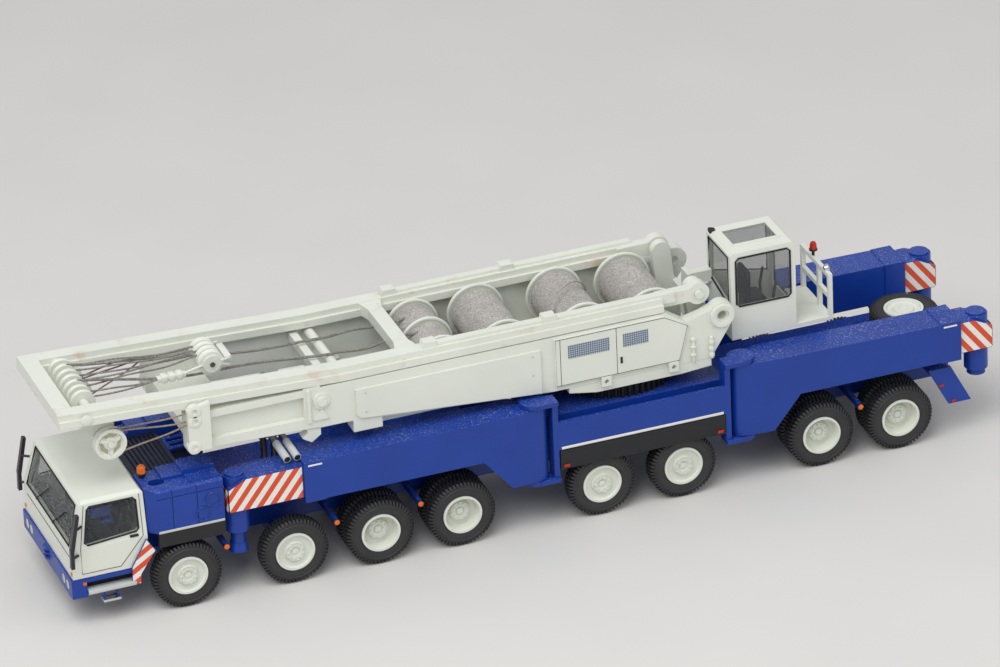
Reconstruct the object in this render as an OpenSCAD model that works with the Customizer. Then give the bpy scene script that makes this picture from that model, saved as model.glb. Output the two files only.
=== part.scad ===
/* [Running gear] */
// Tyre diameter over the tread lugs
tyre_d = 24; // [22:0.5:25]
// Width of one tyre
tyre_w = 6.4; // [5.4:0.1:7]
// Diameter of the wheel rim where the tyre seats
rim_d = 13.9; // [12:0.1:15]
// Distance from the centre plane to the outer face of the wheels
track_out = 29; // [27.5:0.1:29.4]
// Gap between the two tyres of a twin wheel
twin_gap = 0.8; // [0.4:0.1:1.5]
// Diameter of the wheel axle rods
rod_d = 2.4; // [1.6:0.1:3]
// Spacing of axles 1 and 2
gap_1_2 = 38.1; // [34:0.1:44]
// Spacing of axles 2 and 3
gap_2_3 = 30.7; // [28:0.1:34]
// Spacing of axles 3 and 4
gap_3_4 = 29.5; // [27:0.1:34]
// Spacing of axles 4 and 5
gap_4_5 = 50.9; // [48:0.1:58]
// Spacing of axles 5 and 6, under the slewing ring
gap_5_6 = 29.9; // [27:0.1:36]
// Spacing of axles 6 and 7
gap_6_7 = 51.3; // [48:0.1:58]
// Spacing of axles 7 and 8
gap_7_8 = 29.6; // [27:0.1:34]
// Distance of the steering pins from the centre plane
king_y = 18; // [17:0.1:18.6]
// Diameter of the steering pins
king_d = 2.4; // [1.8:0.1:3]

/* [Carrier] */
// Length from axle 1 to the front of the bumper
front_overhang = 41.5; // [39:0.1:46]
// Length from axle 8 to the rear of the outrigger jacks
rear_overhang = 34.5; // [32:0.1:40]
// Width of the central frame girder
girder_w = 18; // [14:0.5:20]
// Height of the underside of the girder
girder_z = 14; // [13:0.1:16]
// Height of the carrier deck
deck_z = 30; // [29:0.1:32]
// Height of the top of the turntable base
base_z = 40; // [38:0.1:41]
// Half length of the turntable base
base_reach = 32.5; // [30:0.1:33]
// Half width of the turntable base
base_y = 30; // [29:0.1:30.4]
// Height of the cab roof
cab_roof_z = 46.3; // [44:0.1:48]
// Height of the cab floor
cab_floor_z = 18.7; // [18:0.1:20]
// Length of the cab
cab_len = 26.9; // [25:0.1:29]
// Half width of the cab at the belt line
cab_y = 27; // [25:0.1:28]
// Wall thickness of the cab
cab_wall = 1.3; // [1:0.1:1.8]
// Length of the engine housing behind the cab
hood_len = 26.6; // [25:0.1:26.8]
// Height of the top of the engine housing
hood_z = 46.4; // [44:0.1:48]
// Height of the raised covers on the engine housing
cover_z = 48.6; // [47:0.1:49]
// Half width of the engine housing
hood_y = 29; // [27:0.1:30]

/* [Outriggers] */
// Distance of the outrigger hinges from the slewing axis along the carrier
hinge_reach = 38; // [37.5:0.1:40]
// Distance of the outrigger hinges from the centre plane
hinge_y = 26; // [25.5:0.1:26.5]
// Diameter of the hinge pins
hinge_pin_d = 4; // [3:0.1:5]
// Length of the front outrigger arms from the hinge
front_arm_len = 84; // [80:0.5:88]
// Distance of the front jacks from the hinge
front_jack_reach = 106.6; // [106.2:0.1:107]
// Length of the rear outrigger arms from the hinge
rear_arm_len = 80; // [76:0.5:81]
// Width of an outrigger arm
arm_w = 13; // [12:0.1:13.2]
// Height of the underside of an outrigger arm
arm_low_z = 31.4; // [30:0.1:32]
// Height of the top of an outrigger arm
arm_top_z = 46.2; // [45:0.1:46.4]
// Outside diameter of a jack tube
jack_d = 8.4; // [7.6:0.1:9]
// Diameter of a jack rod
jack_rod_d = 5; // [4:0.1:5.6]
// Height of the underside of a jack tube
tube_low_z = 23.8; // [23:0.1:26]
// Height of the underside of the front jack feet when raised
foot_z = 15.6; // [15:0.1:17]
// Height of the underside of the rear jack feet when raised
rear_foot_z = 21.6; // [19:0.1:23]
// Radius of a jack foot
foot_r = 3.3; // [2.8:0.1:3.6]

/* [Superstructure] */
// Radius of the slewing ring over its teeth
ring_r = 23; // [21:0.1:24]
// Height of the underside of the slewing deck
upper_z = 45.4; // [44:0.1:46]
// Height of the lower edge of the side girders at the slewing axis
girder_low_z = 49.2; // [49:0.1:51]
// Half width of the superstructure
upper_y = 24.5; // [23:0.1:25]
// Thickness of the side girders
wall_t = 4.5; // [3.5:0.1:5]
// Height of the top edge of the side girders
wall_top_z = 69.8; // [68:0.1:70]
// Distance of the boom foot eyes ahead of the slewing axis
eye_reach = 32.4; // [31:0.1:34]
// Height of the boom foot eyes
eye_z = 64.6; // [63:0.1:66]
// Diameter of the bore of the boom foot eyes
eye_d = 3.2; // [2.4:0.1:4]
// Radius of a winch drum flange
drum_flange_r = 10.3; // [9:0.1:10.8]
// Half length of a winch drum over its flanges
drum_half = 15; // [12:0.1:16]
// Height of the winch drum axes
drum_z = 64.6; // [64:0.1:66]
// Diameter of a winch drum shaft
drum_shaft_d = 3; // [2:0.1:4]

/* [Gantry] */
// Distance of the gantry hinge ahead of the slewing axis
gantry_reach = 25.5; // [24:0.1:27]
// Height of the gantry hinge
gantry_z = 72.7; // [72:0.1:74]
// Diameter of the gantry hinge pins
gantry_pin_d = 3; // [2:0.1:4]
// Length of the gantry from its hinge to its head
gantry_len = 229; // [215:0.5:232]
// Distance of the inner face of the gantry legs from the centre plane
leg_in_y = 17; // [16.6:0.1:18]
// Width of a gantry leg
leg_w = 7.2; // [6:0.1:7.4]
// Depth of a gantry leg
leg_h = 4.8; // [4:0.1:5.5]
// Radius of the large sheaves that hang under the gantry head
hang_r = 5.6; // [5:0.1:6]
// Height of the axes of the large sheaves
hang_z = 63.2; // [62:0.1:66]

/* [Operator cab] */
// Length of the operator cab
ocab_len = 24; // [22:0.1:26]
// Width of the operator cab
ocab_w = 21.5; // [20:0.1:23]
// Height of the underside of the operator cab
ocab_z = 49.9; // [49.5:0.1:51]
// Height of the roof of the operator cab
ocab_roof_z = 83; // [80:0.1:85]
// Distance of the operator cab ahead of the slewing axis
ocab_reach = 38.6; // [38:0.1:40]
// Wall thickness of the operator cab
ocab_wall = 1; // [0.8:0.1:1.4]
// Length of the operator cab's platform
platform_len = 13.5; // [12:0.1:15]

/* [Fits] */
// Radial clearance of pins, shafts and rods
run = 0.05; // [0.02:0.01:0.1]
// Gap between faces that slide or seat on each other
seat = 0.2; // [0.1:0.05:0.3]

/* [Hidden] */
$fn = 64;
eps = 0.01;
BLUE = "#1f3fa8";
IVORY = "#e6e8dc";
BLACK = "#26262a";
RUBBER = "#262626";
GLASS = "#8fa6a8";
ORANGE = "#f08020";
STEEL = "#a8a8a4";
ROPE = "#8f8a86";

// Wheel and axle places, worked out from the slewing axis so that the whole part is centred along X
tyre_r = tyre_d / 2;
rim_r = rim_d / 2;
rod_r = rod_d / 2;
axle_z = tyre_r;
front_rel = gap_5_6 / 2 + gap_4_5 + gap_3_4 + gap_2_3 + gap_1_2 + front_overhang;
rear_rel = gap_5_6 / 2 + gap_6_7 + gap_7_8 + rear_overhang;
slew_x = (rear_rel - front_rel) / 2;
front_x = slew_x + front_rel;
rear_x = slew_x - rear_rel;
axle_5_x = slew_x + gap_5_6 / 2;
axle_6_x = slew_x - gap_5_6 / 2;
axle_4_x = axle_5_x + gap_4_5;
axle_3_x = axle_4_x + gap_3_4;
axle_2_x = axle_3_x + gap_2_3;
axle_1_x = axle_2_x + gap_1_2;
axle_7_x = axle_6_x - gap_6_7;
axle_8_x = axle_7_x - gap_7_8;
steer_x = [axle_1_x, axle_2_x];
rod_axles = [axle_3_x, axle_4_x, axle_5_x, axle_6_x, axle_7_x, axle_8_x];
wheel_y = track_out - tyre_w / 2;
twin_y = wheel_y - tyre_w - twin_gap;
king_r = king_d / 2;

// Wheel sections
bead = 0.6;
shoulder_r = 1.5;
shoulder_w = 1.1;
hub_r = 3.5;
cap_r = 1.7;
web_in = 1.6;
lamp_y = track_out - 1;
bracket_z = 18.5;
lamp_bracket_x = [axle_1_x - 14.2, (axle_2_x + axle_3_x) / 2, (axle_3_x + axle_4_x) / 2,
  (axle_7_x + axle_8_x) / 2];

// Places along the carrier, from the slewing axis and the axles
base_low_z = deck_z - 0.7;
tray_h = 3.6;
deck_half = 16;
front_deck_t = 1.4;
skirt_reach = base_reach - 2.3;
bumper_front_x = front_x - 1.2;
bumper_rear_x = front_x - 6.5;
bumper_low_z = 11.6;
cab_front_x = front_x - 1.9;
cab_rear_x = cab_front_x - cab_len;
cab_belt_z = cab_floor_z + 11;
arch_x = axle_1_x + tyre_r + 4.7;
hood_front_x = cab_rear_x - 0.3;
hood_rear_x = hood_front_x - hood_len;
hood_in_y = 14;
ridge_x = hood_rear_x + 10.3;
guard_top_x = axle_8_x - 11;
guard_top_z = 27.4;
guard_low_z = 13;
spare_x = axle_8_x - 13;
spare_y = 2;
spare_z = deck_z + 3.2 + run;
exhaust_x = [axle_2_x - 1.4, axle_2_x + 2.2];
pipe_r = 1.15;

// Outriggers, drawn from their hinges
front_hinge_x = slew_x + hinge_reach;
rear_hinge_x = slew_x - hinge_reach;
rear_jack_reach = rear_hinge_x - rear_x - jack_d / 2;
hinge_low_z = 19.3;
hinge_top_z = 46.8;
ear_t = 1.6;
ear_r = 4.8;
knuckle_r = 4.4;
arm_out = 31 - hinge_y;
arm_in = arm_out - arm_w;
arm_wall = 0.9;
arm_floor = 1.2;
arm_roof = 1.3;
arm_cavity_x = 24;
collar_len = 7.5;
jack_y = (arm_in + arm_out) / 2;
box_slope_len = 7;
box_slope_h = 3.4;
rod_len = 16;

// Superstructure, with X from the slewing axis and positive towards the tail
floor_z = girder_low_z + 0.8;
front_plate_x = -31;
knee_x = 30;
foot_x = 91.2;
foot_len = 10.3;
panel_end_x = 100.4;
panel_top_z = 66.4;
tube_x = 101.8;
boss_x = 112.5;
rib_x = 117;
tail_x = 160;
tail_plate_x = 152;
tail_low_z = 56.6;
girder_mid_z = 54.6;
leg_out_y = leg_in_y + leg_w;
gantry_x = slew_x - gantry_reach;
gantry_knee = 130;
gantry_rise = 0.042;
head_pin_d = gantry_len - 12;
head_pin_r = 1.6;
hang_d = gantry_len - 18.2;
hang_pin_r = 1.2;
cheek_y = leg_in_y - 0.4;
drum_x = [slew_x - 10.8, slew_x + 14.2, slew_x + 43, slew_x + 66];
ocab_x1 = slew_x - ocab_reach;
ocab_x0 = ocab_x1 - ocab_len;
ocab_y1 = 17.5;
ocab_y0 = ocab_y1 - ocab_w;
ocab_sill_z = ocab_z + 12.6;
arm_z = 64.7;

// Turns a shape drawn about Z so that its axis lies along Y
module along_y() {
  rotate([-90, 0, 0]) children();
}

// Turns an outline drawn in X and Z upright and gives it thickness from y0 to y1
module upright(y0, y1) {
  translate([0, y1, 0]) rotate([90, 0, 0]) linear_extrude(y1 - y0) children();
}

// Turns an outline drawn in Y and Z upright and gives it length from x0 to x1
module lengthwise(x0, x1) {
  translate([x0, 0, 0]) rotate([90, 0, 90]) linear_extrude(x1 - x0) children();
}

// A block given by its lowest and highest corners
module block(low, high) {
  translate(low) cube(high - low);
}

// A round bar from point p to point q
module bar(p, q, r) {
  v = q - p;
  translate(p) rotate([0, acos(v[2] / norm(v)), atan2(v[1], v[0])]) cylinder(r = r, h = norm(v));
}

// Both sides of the centre plane
module both_sides() {
  children();
  mirror([0, 1, 0]) children();
}

// One side of the centre plane, 1 for left and -1 for right
module side(s) {
  if (s > 0) children();
  else mirror([0, 1, 0]) children();
}

// Tyre: a revolved section with sloping shoulders, centred on its own mid plane
module tyre_body() {
  half = tyre_w / 2;
  flank_r = rim_r + 2 * bead;
  along_y() rotate_extrude() polygon([
    [rim_r + run, bead - half], [flank_r, -half], [tyre_r - shoulder_r, -half], [tyre_r, shoulder_w - half],
    [tyre_r, half - shoulder_w], [tyre_r - shoulder_r, half], [flank_r, half], [rim_r + run, half - bead]]);
}

// Shallow rim with a raised hub; bore is the radius of a blind hole from the inside, or 0
module shallow_rim(bore) {
  half = tyre_w / 2;
  face = half - 0.1;
  hub_face = half - 0.35;
  along_y() rotate_extrude() polygon([
    [bore, -web_in], [rim_r - 0.8, -web_in], [rim_r - 0.8, bead - half], [rim_r, bead - half], [rim_r, face],
    [rim_r - 0.8, face], [rim_r - 1.2, half - 1], [hub_r + 0.3, half - 1.3], [hub_r, hub_face],
    [cap_r, hub_face], [cap_r - 0.2, half - 0.75], [0, half - 0.75], [0, half - 1.5], [bore, half - 1.5]]);
}

// Deep dished rim of the outer wheel of a twin
module dished_rim() {
  half = tyre_w / 2;
  face = half - 0.1;
  hub_face = 3.1 - half;
  along_y() rotate_extrude() polygon([
    [0, 0.4 - half], [rim_r, 0.4 - half], [rim_r, face], [rim_r - 0.8, face], [rim_r - 1.3, 2.2 - half],
    [hub_r + 0.3, 1.9 - half], [hub_r, hub_face], [cap_r, hub_face], [cap_r - 0.2, hub_face - 0.4],
    [0, hub_face - 0.4]]);
}

// Plain rim of the inner wheel of a twin
module inner_rim() {
  half = tyre_w / 2;
  along_y() rotate_extrude() polygon([
    [0, bead - half], [rim_r, bead - half], [rim_r, half - 0.4], [rim_r - 0.8, half - 0.4],
    [rim_r - 1.2, 2 - half], [0, 2 - half]]);
}

// Steered wheel pieces, i for the axle and s for the side
module steered_tyre(i, s) {
  color(RUBBER) side(s) translate([steer_x[i], wheel_y, axle_z]) tyre_body();
}

module steered_rim(i, s) {
  color(IVORY) side(s) translate([steer_x[i], wheel_y, axle_z]) shallow_rim(rod_r + run);
}

// Steering knuckle: a sleeve on the steering pin with a stub axle
module knuckle(i, s) {
  sleeve_r = king_r + run + 1.3;
  sleeve_h = 6.6;
  color(BLACK) side(s) translate([steer_x[i], 0, axle_z]) difference() {
    union() {
      translate([0, king_y, -sleeve_h / 2]) cylinder(r = sleeve_r, h = sleeve_h);
      translate([0, king_y, 0]) along_y() cylinder(r = rod_r, h = track_out - 1.7 - king_y);
    }
    translate([0, king_y, -sleeve_h]) cylinder(r = king_r + run, h = 2 * sleeve_h);
  }
}

// Tyres and rims of the axles that run on plain rods; twin axles carry four tyres
module rod_tyres(x, twin) {
  color(RUBBER) both_sides() translate([x, 0, axle_z]) {
    translate([0, wheel_y, 0]) tyre_body();
    if (twin) translate([0, twin_y, 0]) tyre_body();
  }
}

module rod_wheelset(x, twin) {
  color(IVORY) translate([x, 0, axle_z]) {
    translate([0, -wheel_y, 0]) along_y() cylinder(r = rod_r, h = 2 * wheel_y);
    both_sides() {
      if (twin) {
        translate([0, wheel_y, 0]) dished_rim();
        translate([0, twin_y, 0]) inner_rim();
      } else translate([0, wheel_y, 0]) shallow_rim(0);
    }
  }
}

// Places what is drawn for the front left outrigger at one of the four corners
module corner(front, left) {
  x = front ? front_hinge_x : rear_hinge_x;
  translate([x, 0, 0]) mirror([front ? 0 : 1, 0, 0]) mirror([0, left ? 0 : 1, 0])
    translate([0, hinge_y, 0]) children();
}

// Hinge ears and pin of an outrigger, on the turntable base
module hinge_ears() {
  web_x = base_reach - hinge_reach;
  module ear_outline() {
    circle(r = ear_r);
    translate([web_x - 2, -1]) square([-web_x + 2, 6]);
  }
  translate([0, 0, hinge_low_z - seat - ear_t]) linear_extrude(ear_t) ear_outline();
  translate([0, 0, hinge_top_z + seat]) linear_extrude(ear_t) ear_outline();
  block([web_x - 2, -1, hinge_low_z - seat - ear_t], [web_x, 4, hinge_top_z + seat + ear_t]);
  translate([0, 0, hinge_low_z - seat - ear_t])
    cylinder(d = hinge_pin_d, h = hinge_top_z - hinge_low_z + 2 * (seat + ear_t));
}

// Axle beam of a steered axle, with forked ends and steering pins
module steered_axle(x) {
  fork = 3.5;
  translate([x, 0, axle_z]) {
    block([-3, -king_y + 3, -2.6], [3, king_y - 3, girder_z - axle_z - run]);
    both_sides() for (z = [-5.5, fork]) {
      translate([0, king_y, z]) cylinder(r = 2.6, h = 2);
      block([-2.6, king_y - 5, z], [2.6, king_y, z + 2]);
    }
    both_sides() {
      block([-2.6, king_y - 5, -5.5], [2.6, king_y - 3.2, 5.5]);
      translate([0, king_y, -5.5]) cylinder(r = king_r, h = 11);
    }
  }
}

// Block under the girder that carries a plain axle rod
module rod_bearing(x) {
  block([x - 4, -11, axle_z - 3], [x + 4, 11, girder_z + 1]);
}

// Pair of brackets between two wheels that carry the marker lamps
module lamp_brackets(x) {
  both_sides() block([x - 0.7, girder_w / 2 + run, bracket_z], [x + 0.7, lamp_y, bracket_z + 2.1]);
}

module chassis() {
  post_h = spare_z + tyre_w / 2 - web_in - run - deck_z;
  color(BLUE) difference() {
    union() {
      block([rear_x + 8, -girder_w / 2, girder_z], [cab_rear_x, girder_w / 2, deck_z]);
      block([cab_rear_x - eps, -girder_w / 2, girder_z],
        [bumper_rear_x - run, girder_w / 2, cab_floor_z - seat]);
      for (x = steer_x) steered_axle(x);
      for (x = rod_axles) rod_bearing(x);
      for (x = lamp_bracket_x) lamp_brackets(x);
      block([slew_x - base_reach, -base_y, base_low_z], [slew_x + base_reach, base_y, base_z]);
      for (front = [true, false], left = [true, false]) corner(front, left) hinge_ears();
      block([rear_x + 10, -deck_half, deck_z - 1.5], [rear_hinge_x + 5, deck_half, deck_z]);
      block([front_hinge_x + 14, -deck_half, deck_z + run],
        [hood_rear_x - 0.6, deck_half, deck_z + front_deck_t]);
      both_sides() rear_mudguard();
      translate([spare_x, spare_y, deck_z - eps]) cylinder(r = 3, h = post_h);
    }
    for (x = rod_axles) translate([x, -40, axle_z]) along_y() cylinder(r = rod_r + run, h = 80);
    both_sides() block([slew_x - base_reach + 2, base_y - 5.6, base_z - tray_h],
      [slew_x + base_reach - 2, base_y - 1.4, base_z + 1]);
  }
}

// Broad guard behind the last wheel, raked to the rear, with its carrier to the girder
module rear_mudguard() {
  rake = 7.4;
  length = 8.4;
  plate = 1.4;
  out_y = track_out - 1;
  upright(out_y - plate, out_y) polygon([[guard_top_x, guard_top_z], [guard_top_x - length, guard_top_z],
    [guard_top_x - length - rake, guard_low_z], [guard_top_x - rake, guard_low_z]]);
  block([guard_top_x - length + 1, girder_w / 2 + run, guard_top_z - 2.4],
    [guard_top_x - 1, out_y - plate + eps, guard_top_z]);
}

// Outer volume of the driver's cab, shrunk by inset on every side
module cab_volume(inset) {
  back = cab_rear_x + inset;
  low = cab_floor_z + inset;
  top = cab_roof_z - inset;
  nose = cab_front_x - inset;
  side = cab_y - inset;
  lean = 2.2;
  rake = 4.4;
  intersection() {
    upright(-2 * cab_y, 2 * cab_y) polygon([[arch_x + inset, low], [nose, low], [nose - 0.4, cab_belt_z],
      [nose - rake, top - 1.2 + inset / 2], [nose - rake - 1.2, top], [back + 1, top], [back, top - 1],
      [back, cab_floor_z + 10]]);
    lengthwise(cab_rear_x - 5, front_x) polygon([[-side, 0], [side, 0], [side, cab_belt_z],
      [side - lean, cab_roof_z - 1], [side - lean - 1.2, cab_roof_z], [lean + 1.2 - side, cab_roof_z],
      [lean - side, cab_roof_z - 1], [-side, cab_belt_z]]);
  }
}

// Window openings of the driver's cab, shrunk by inset
module cab_windows(inset) {
  low = cab_floor_z + 13.4 + inset;
  high = cab_roof_z - 2.2 - inset;
  back = cab_rear_x + 2.8 + inset;
  front = cab_front_x - 5 - inset;
  cut = 0.9;
  both_sides() upright(cab_y - 6, cab_y + 2) polygon([[back, low + cut], [back + cut, low],
    [front - cut, low - 1.4], [front, low - 0.5], [front - 2, high - cut], [front - 2 - cut, high],
    [back + cut, high], [back, high - cut]]);
  lengthwise(cab_front_x - 8, cab_front_x + 2) polygon([[-cab_y + 3.4 + inset, low - 2],
    [cab_y - 3.4 - inset, low - 2], [cab_y - 4.8 - inset, high], [-cab_y + 4.8 + inset, high]]);
  lengthwise(cab_rear_x - 1, cab_rear_x + 3) polygon([[-14 + inset, low], [14 - inset, low],
    [14 - inset, high - 2], [-14 + inset, high - 2]]);
}

module cab_shell() {
  color(IVORY) difference() {
    cab_volume(0);
    cab_volume(cab_wall);
    cab_windows(0);
  }
}

module cab_glazing() {
  color(GLASS) intersection() {
    difference() {
      cab_volume(0.3);
      cab_volume(0.9);
    }
    cab_windows(run);
  }
}

module cab_interior() {
  floor_z = cab_floor_z + cab_wall;
  color(BLACK) {
    block([cab_rear_x + 6.6, -cab_y + 3, floor_z], [cab_front_x - 3, cab_y - 3, floor_z + 1]);
    upright(-cab_y + 4, cab_y - 4) polygon([[cab_front_x - 3.2, floor_z], [cab_front_x - 3.2, floor_z + 11],
      [cab_front_x - 7.5, floor_z + 9.4], [cab_front_x - 6.4, floor_z]]);
    both_sides() upright(9, 20) polygon([[cab_rear_x + 7, floor_z], [cab_rear_x + 14, floor_z],
      [cab_rear_x + 14.5, floor_z + 6.5], [cab_rear_x + 9, floor_z + 6.5], [cab_rear_x + 6.5, floor_z + 19],
      [cab_rear_x + 4.1, floor_z + 19]]);
    translate([cab_front_x - 8, 14.5, floor_z + 11]) rotate([0, -35, 0]) rotate_extrude()
      translate([3.2, 0]) circle(r = 0.45);
    translate([cab_front_x - 8, 14.5, floor_z + 11]) rotate([0, -35, 0])
      block([-0.5, -3.2, -0.4], [0.5, 3.2, 0.4]);
    translate([cab_front_x - 8, 14.5, floor_z + 11]) rotate([0, -35, 0]) translate([0, 0, -5])
      cylinder(r = 0.6, h = 5);
  }
}

module front_bumper() {
  out_y = cab_y + 0.4;
  board_y = track_out - 1;
  board_z = 12.6;
  step_z = 8.4;
  top_z = cab_floor_z - seat;
  color(BLUE) {
    difference() {
      block([bumper_rear_x, -out_y, bumper_low_z], [bumper_front_x, out_y, top_z]);
      both_sides() for (y = [18.2, 22.6]) translate([bumper_front_x - 1, y, 15.2]) rotate([0, 90, 0])
        cylinder(r = 1.7, h = 2);
    }
    for (z = [14.2, 15.8, 17.4]) translate([0, 0, z]) linear_extrude(0.8)
      polygon([[bumper_front_x - eps, -2.6], [front_x, -1.2], [front_x, 1.2], [bumper_front_x - eps, 2.6]]);
    both_sides() {
      block([arch_x + 0.4, 26.2, top_z - 1.5], [bumper_rear_x + eps, out_y, top_z]);
      block([arch_x + 1.4, 24.6, board_z], [bumper_rear_x + eps, board_y, board_z + 1.3]);
      block([arch_x + 7, 24.6, step_z], [arch_x + 13, board_y, step_z + 0.8]);
      for (x = [arch_x + 7.4, arch_x + 12]) block([x, 25.4, step_z], [x + 0.6, 27, board_z + eps]);
      upright(cab_y + 0.3, board_y) polygon([[arch_x - 3.3, 28.9], [arch_x - 6.2, 24], [arch_x - 0.7, 16.2],
        [arch_x - 0.3, board_z], [arch_x + 2.7, board_z], [arch_x + 2.4, 19.2]]);
    }
  }
}

// Engine housing: a box with stepped covers each side of the radiator, joined by a floor
module engine_hood() {
  corner_cut = 3.1;
  low = deck_z + seat;
  seam = 0.3;
  seam_x = [hood_front_x - 8.7, hood_front_x - 17.4];
  seam_z = hood_z - 3.4;
  slot_x = hood_front_x - 4.4;
  cap_places = [[hood_rear_x + 3.9, low + 9], [hood_rear_x + 7.6, low + 4.2]];
  color(BLUE) {
    both_sides() {
      difference() {
        intersection() {
          lengthwise(hood_rear_x, hood_front_x) polygon([[hood_in_y, low], [hood_y, low],
            [hood_y, hood_z - 0.8], [hood_y - 0.8, hood_z], [hood_in_y, hood_z]]);
          linear_extrude(2 * hood_z) polygon([[hood_rear_x, 0], [hood_front_x, 0],
            [hood_front_x, hood_y - corner_cut], [hood_front_x - corner_cut, hood_y], [hood_rear_x, hood_y]]);
        }
        for (x = seam_x) block([x, hood_y - seam, low - 1], [x + seam, hood_y + 1, hood_z + 1]);
        block([hood_rear_x - 1, hood_y - seam, seam_z], [hood_front_x + 1, hood_y + 1, seam_z + seam]);
        for (x = [slot_x, slot_x - 1.6]) translate([x, 22.4, hood_z - 3]) cylinder(r = 2, h = 4);
        block([slot_x - 1.6, 20.4, hood_z - 3], [slot_x, 24.4, hood_z + 1]);
      }
      block([hood_rear_x + 0.6, hood_in_y, hood_z - eps], [hood_rear_x + 12.1, 22, cover_z]);
      block([hood_rear_x + 12, hood_in_y, hood_z - eps], [hood_front_x - 7.4, 22.4, cover_z - 1.1]);
      block([hood_rear_x + 0.6, 22 - eps, hood_z - eps], [hood_rear_x + 11.4, hood_y - 1.8, hood_z + 0.5]);
      for (p = cap_places) translate([p[0], hood_y - eps, p[1]]) along_y() difference() {
        cylinder(r = 2.7, h = 0.35);
        translate([0, 0, -1]) cylinder(r = 2.25, h = 2);
      }
    }
    block([hood_rear_x, -hood_in_y - eps, low], [hood_front_x, hood_in_y + eps, deck_z + 2]);
    radiator_pipes();
  }
}

// Three pipes along the rear of the radiator, on two brackets
module radiator_pipes() {
  seat_z = hood_z - 4.2 + run;
  pipe_z = seat_z + 2.2;
  for (x = [hood_rear_x + 1.6, ridge_x - 1.8]) block([x, -9.4, seat_z], [x + 1.2, 0.4, pipe_z + 0.6]);
  for (y = [-8, -4.5, -1]) bar([hood_rear_x + 1.2, y, pipe_z], [ridge_x - 0.4, y, pipe_z], 0.8);
}

// Ribbed radiator with a cross ridge, lower behind the ridge
module radiator_deck() {
  low = deck_z + 2 + run;
  half = hood_in_y - run;
  pitch = 1.6;
  color(BLACK) difference() {
    union() {
      block([hood_rear_x + 1, -half, low], [ridge_x, half, hood_z - 4.2]);
      block([ridge_x - eps, -half, low], [hood_front_x, half, hood_z - 1.2]);
      block([ridge_x, -half, low], [ridge_x + 1.2, half, hood_z - 0.4]);
    }
    for (x = [ridge_x + 2.4 : pitch : hood_front_x - 1.6])
      block([x, 1.5 - half, hood_z - 1.8], [x + pitch / 2, half - 1.5, hood_z]);
  }
}

module side_skirts() {
  skirt_z = deck_z - 8;
  color(BLACK) both_sides() {
    block([hood_rear_x, hood_y - 1.6, deck_z - 5], [hood_front_x - 3.1, hood_y, deck_z + seat - run]);
    block([slew_x - skirt_reach, base_y - 0.7, skirt_z],
      [slew_x + skirt_reach, base_y + 0.4, base_low_z - run]);
  }
}

// Two exhaust pipes that rise from the deck and slope down across the outrigger arm
module exhaust_pipes() {
  rise_y = girder_w / 2 - 2;
  rise_z = arm_top_z + 5;
  foot = deck_z + front_deck_t + run;
  color(STEEL) for (x = exhaust_x) {
    elbow = [x, rise_y, rise_z];
    mouth = [x - 1.8, track_out - 1.7, arm_top_z + 0.8];
    way = mouth - elbow;
    translate([x, rise_y, foot]) cylinder(r = pipe_r, h = rise_z - foot);
    translate(elbow) sphere(r = pipe_r);
    difference() {
      bar(elbow, mouth, pipe_r);
      bar(mouth - 0.14 * way, mouth + 0.1 * way, pipe_r - 0.3);
    }
  }
}

module marker_lamps() {
  beacon_r = 1.6;
  color(ORANGE) both_sides() {
    for (x = lamp_bracket_x) translate([x, lamp_y + run, bracket_z + 1.1]) along_y()
      cylinder(r = 1.1, h = 0.9);
    for (x = [slew_x - skirt_reach + 2, slew_x + skirt_reach - 2])
      translate([x, base_y + 0.4 + run, deck_z - 6.6]) along_y() cylinder(r = 1, h = 0.5);
    translate([hood_front_x - 2, 17, hood_z + run]) {
      cylinder(r = 0.7 * beacon_r, h = 1.5);
      translate([0, 0, 1.4]) cylinder(r = beacon_r, h = 3);
    }
  }
}

// Long upper and short lower mirror on two arms, along the slope of the windscreen
module mirrors() {
  split_z = cab_belt_z + 1.8;
  y0 = track_out - 0.3;
  y1 = track_out + 1.6;
  low_x = cab_front_x + 0.2;
  color(BLACK) both_sides() {
    upright(y0, y1) polygon([[low_x - 3, cab_roof_z - 1.9], [low_x - 1.8, cab_roof_z - 1.7],
      [low_x + 0.9, split_z], [low_x - 0.5, split_z]]);
    upright(y0, y1) polygon([[low_x - 0.4, split_z + eps], [low_x + 0.8, split_z + eps],
      [low_x + 1, split_z - 6.6], [low_x - 0.3, split_z - 6.6]]);
    bar([cab_front_x - 4.4, cab_y - 0.8, 38], [low_x - 0.9, y0 + 0.4, 38], 0.45);
    bar([cab_front_x - 2.4, cab_y + 0.35, 28], [low_x + 0.2, y0 + 0.4, 28], 0.45);
  }
}

// Slewing ring with its outer teeth as one outline
module slew_ring() {
  teeth = 60;
  tooth_h = 1.1;
  inner_r = ring_r - 7;
  color(BLACK) translate([slew_x, 0, base_z]) linear_extrude(upper_z - seat - base_z) difference() {
    polygon([for (i = [0 : teeth - 1], k = [0 : 3])
      let (a = 360 * (i + [0, 0.2, 0.5, 0.7][k]) / teeth, r = k == 1 || k == 2 ? ring_r : ring_r - tooth_h)
      [r * cos(a), r * sin(a)]]);
    circle(r = inner_r);
  }
}

module spare_tyre() {
  color(RUBBER) translate([spare_x, spare_y, spare_z + tyre_w / 2]) rotate([90, 0, 0]) tyre_body();
}

module spare_rim() {
  color(IVORY) translate([spare_x, spare_y, spare_z + tyre_w / 2]) rotate([90, 0, 0]) shallow_rim(0);
}

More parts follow.
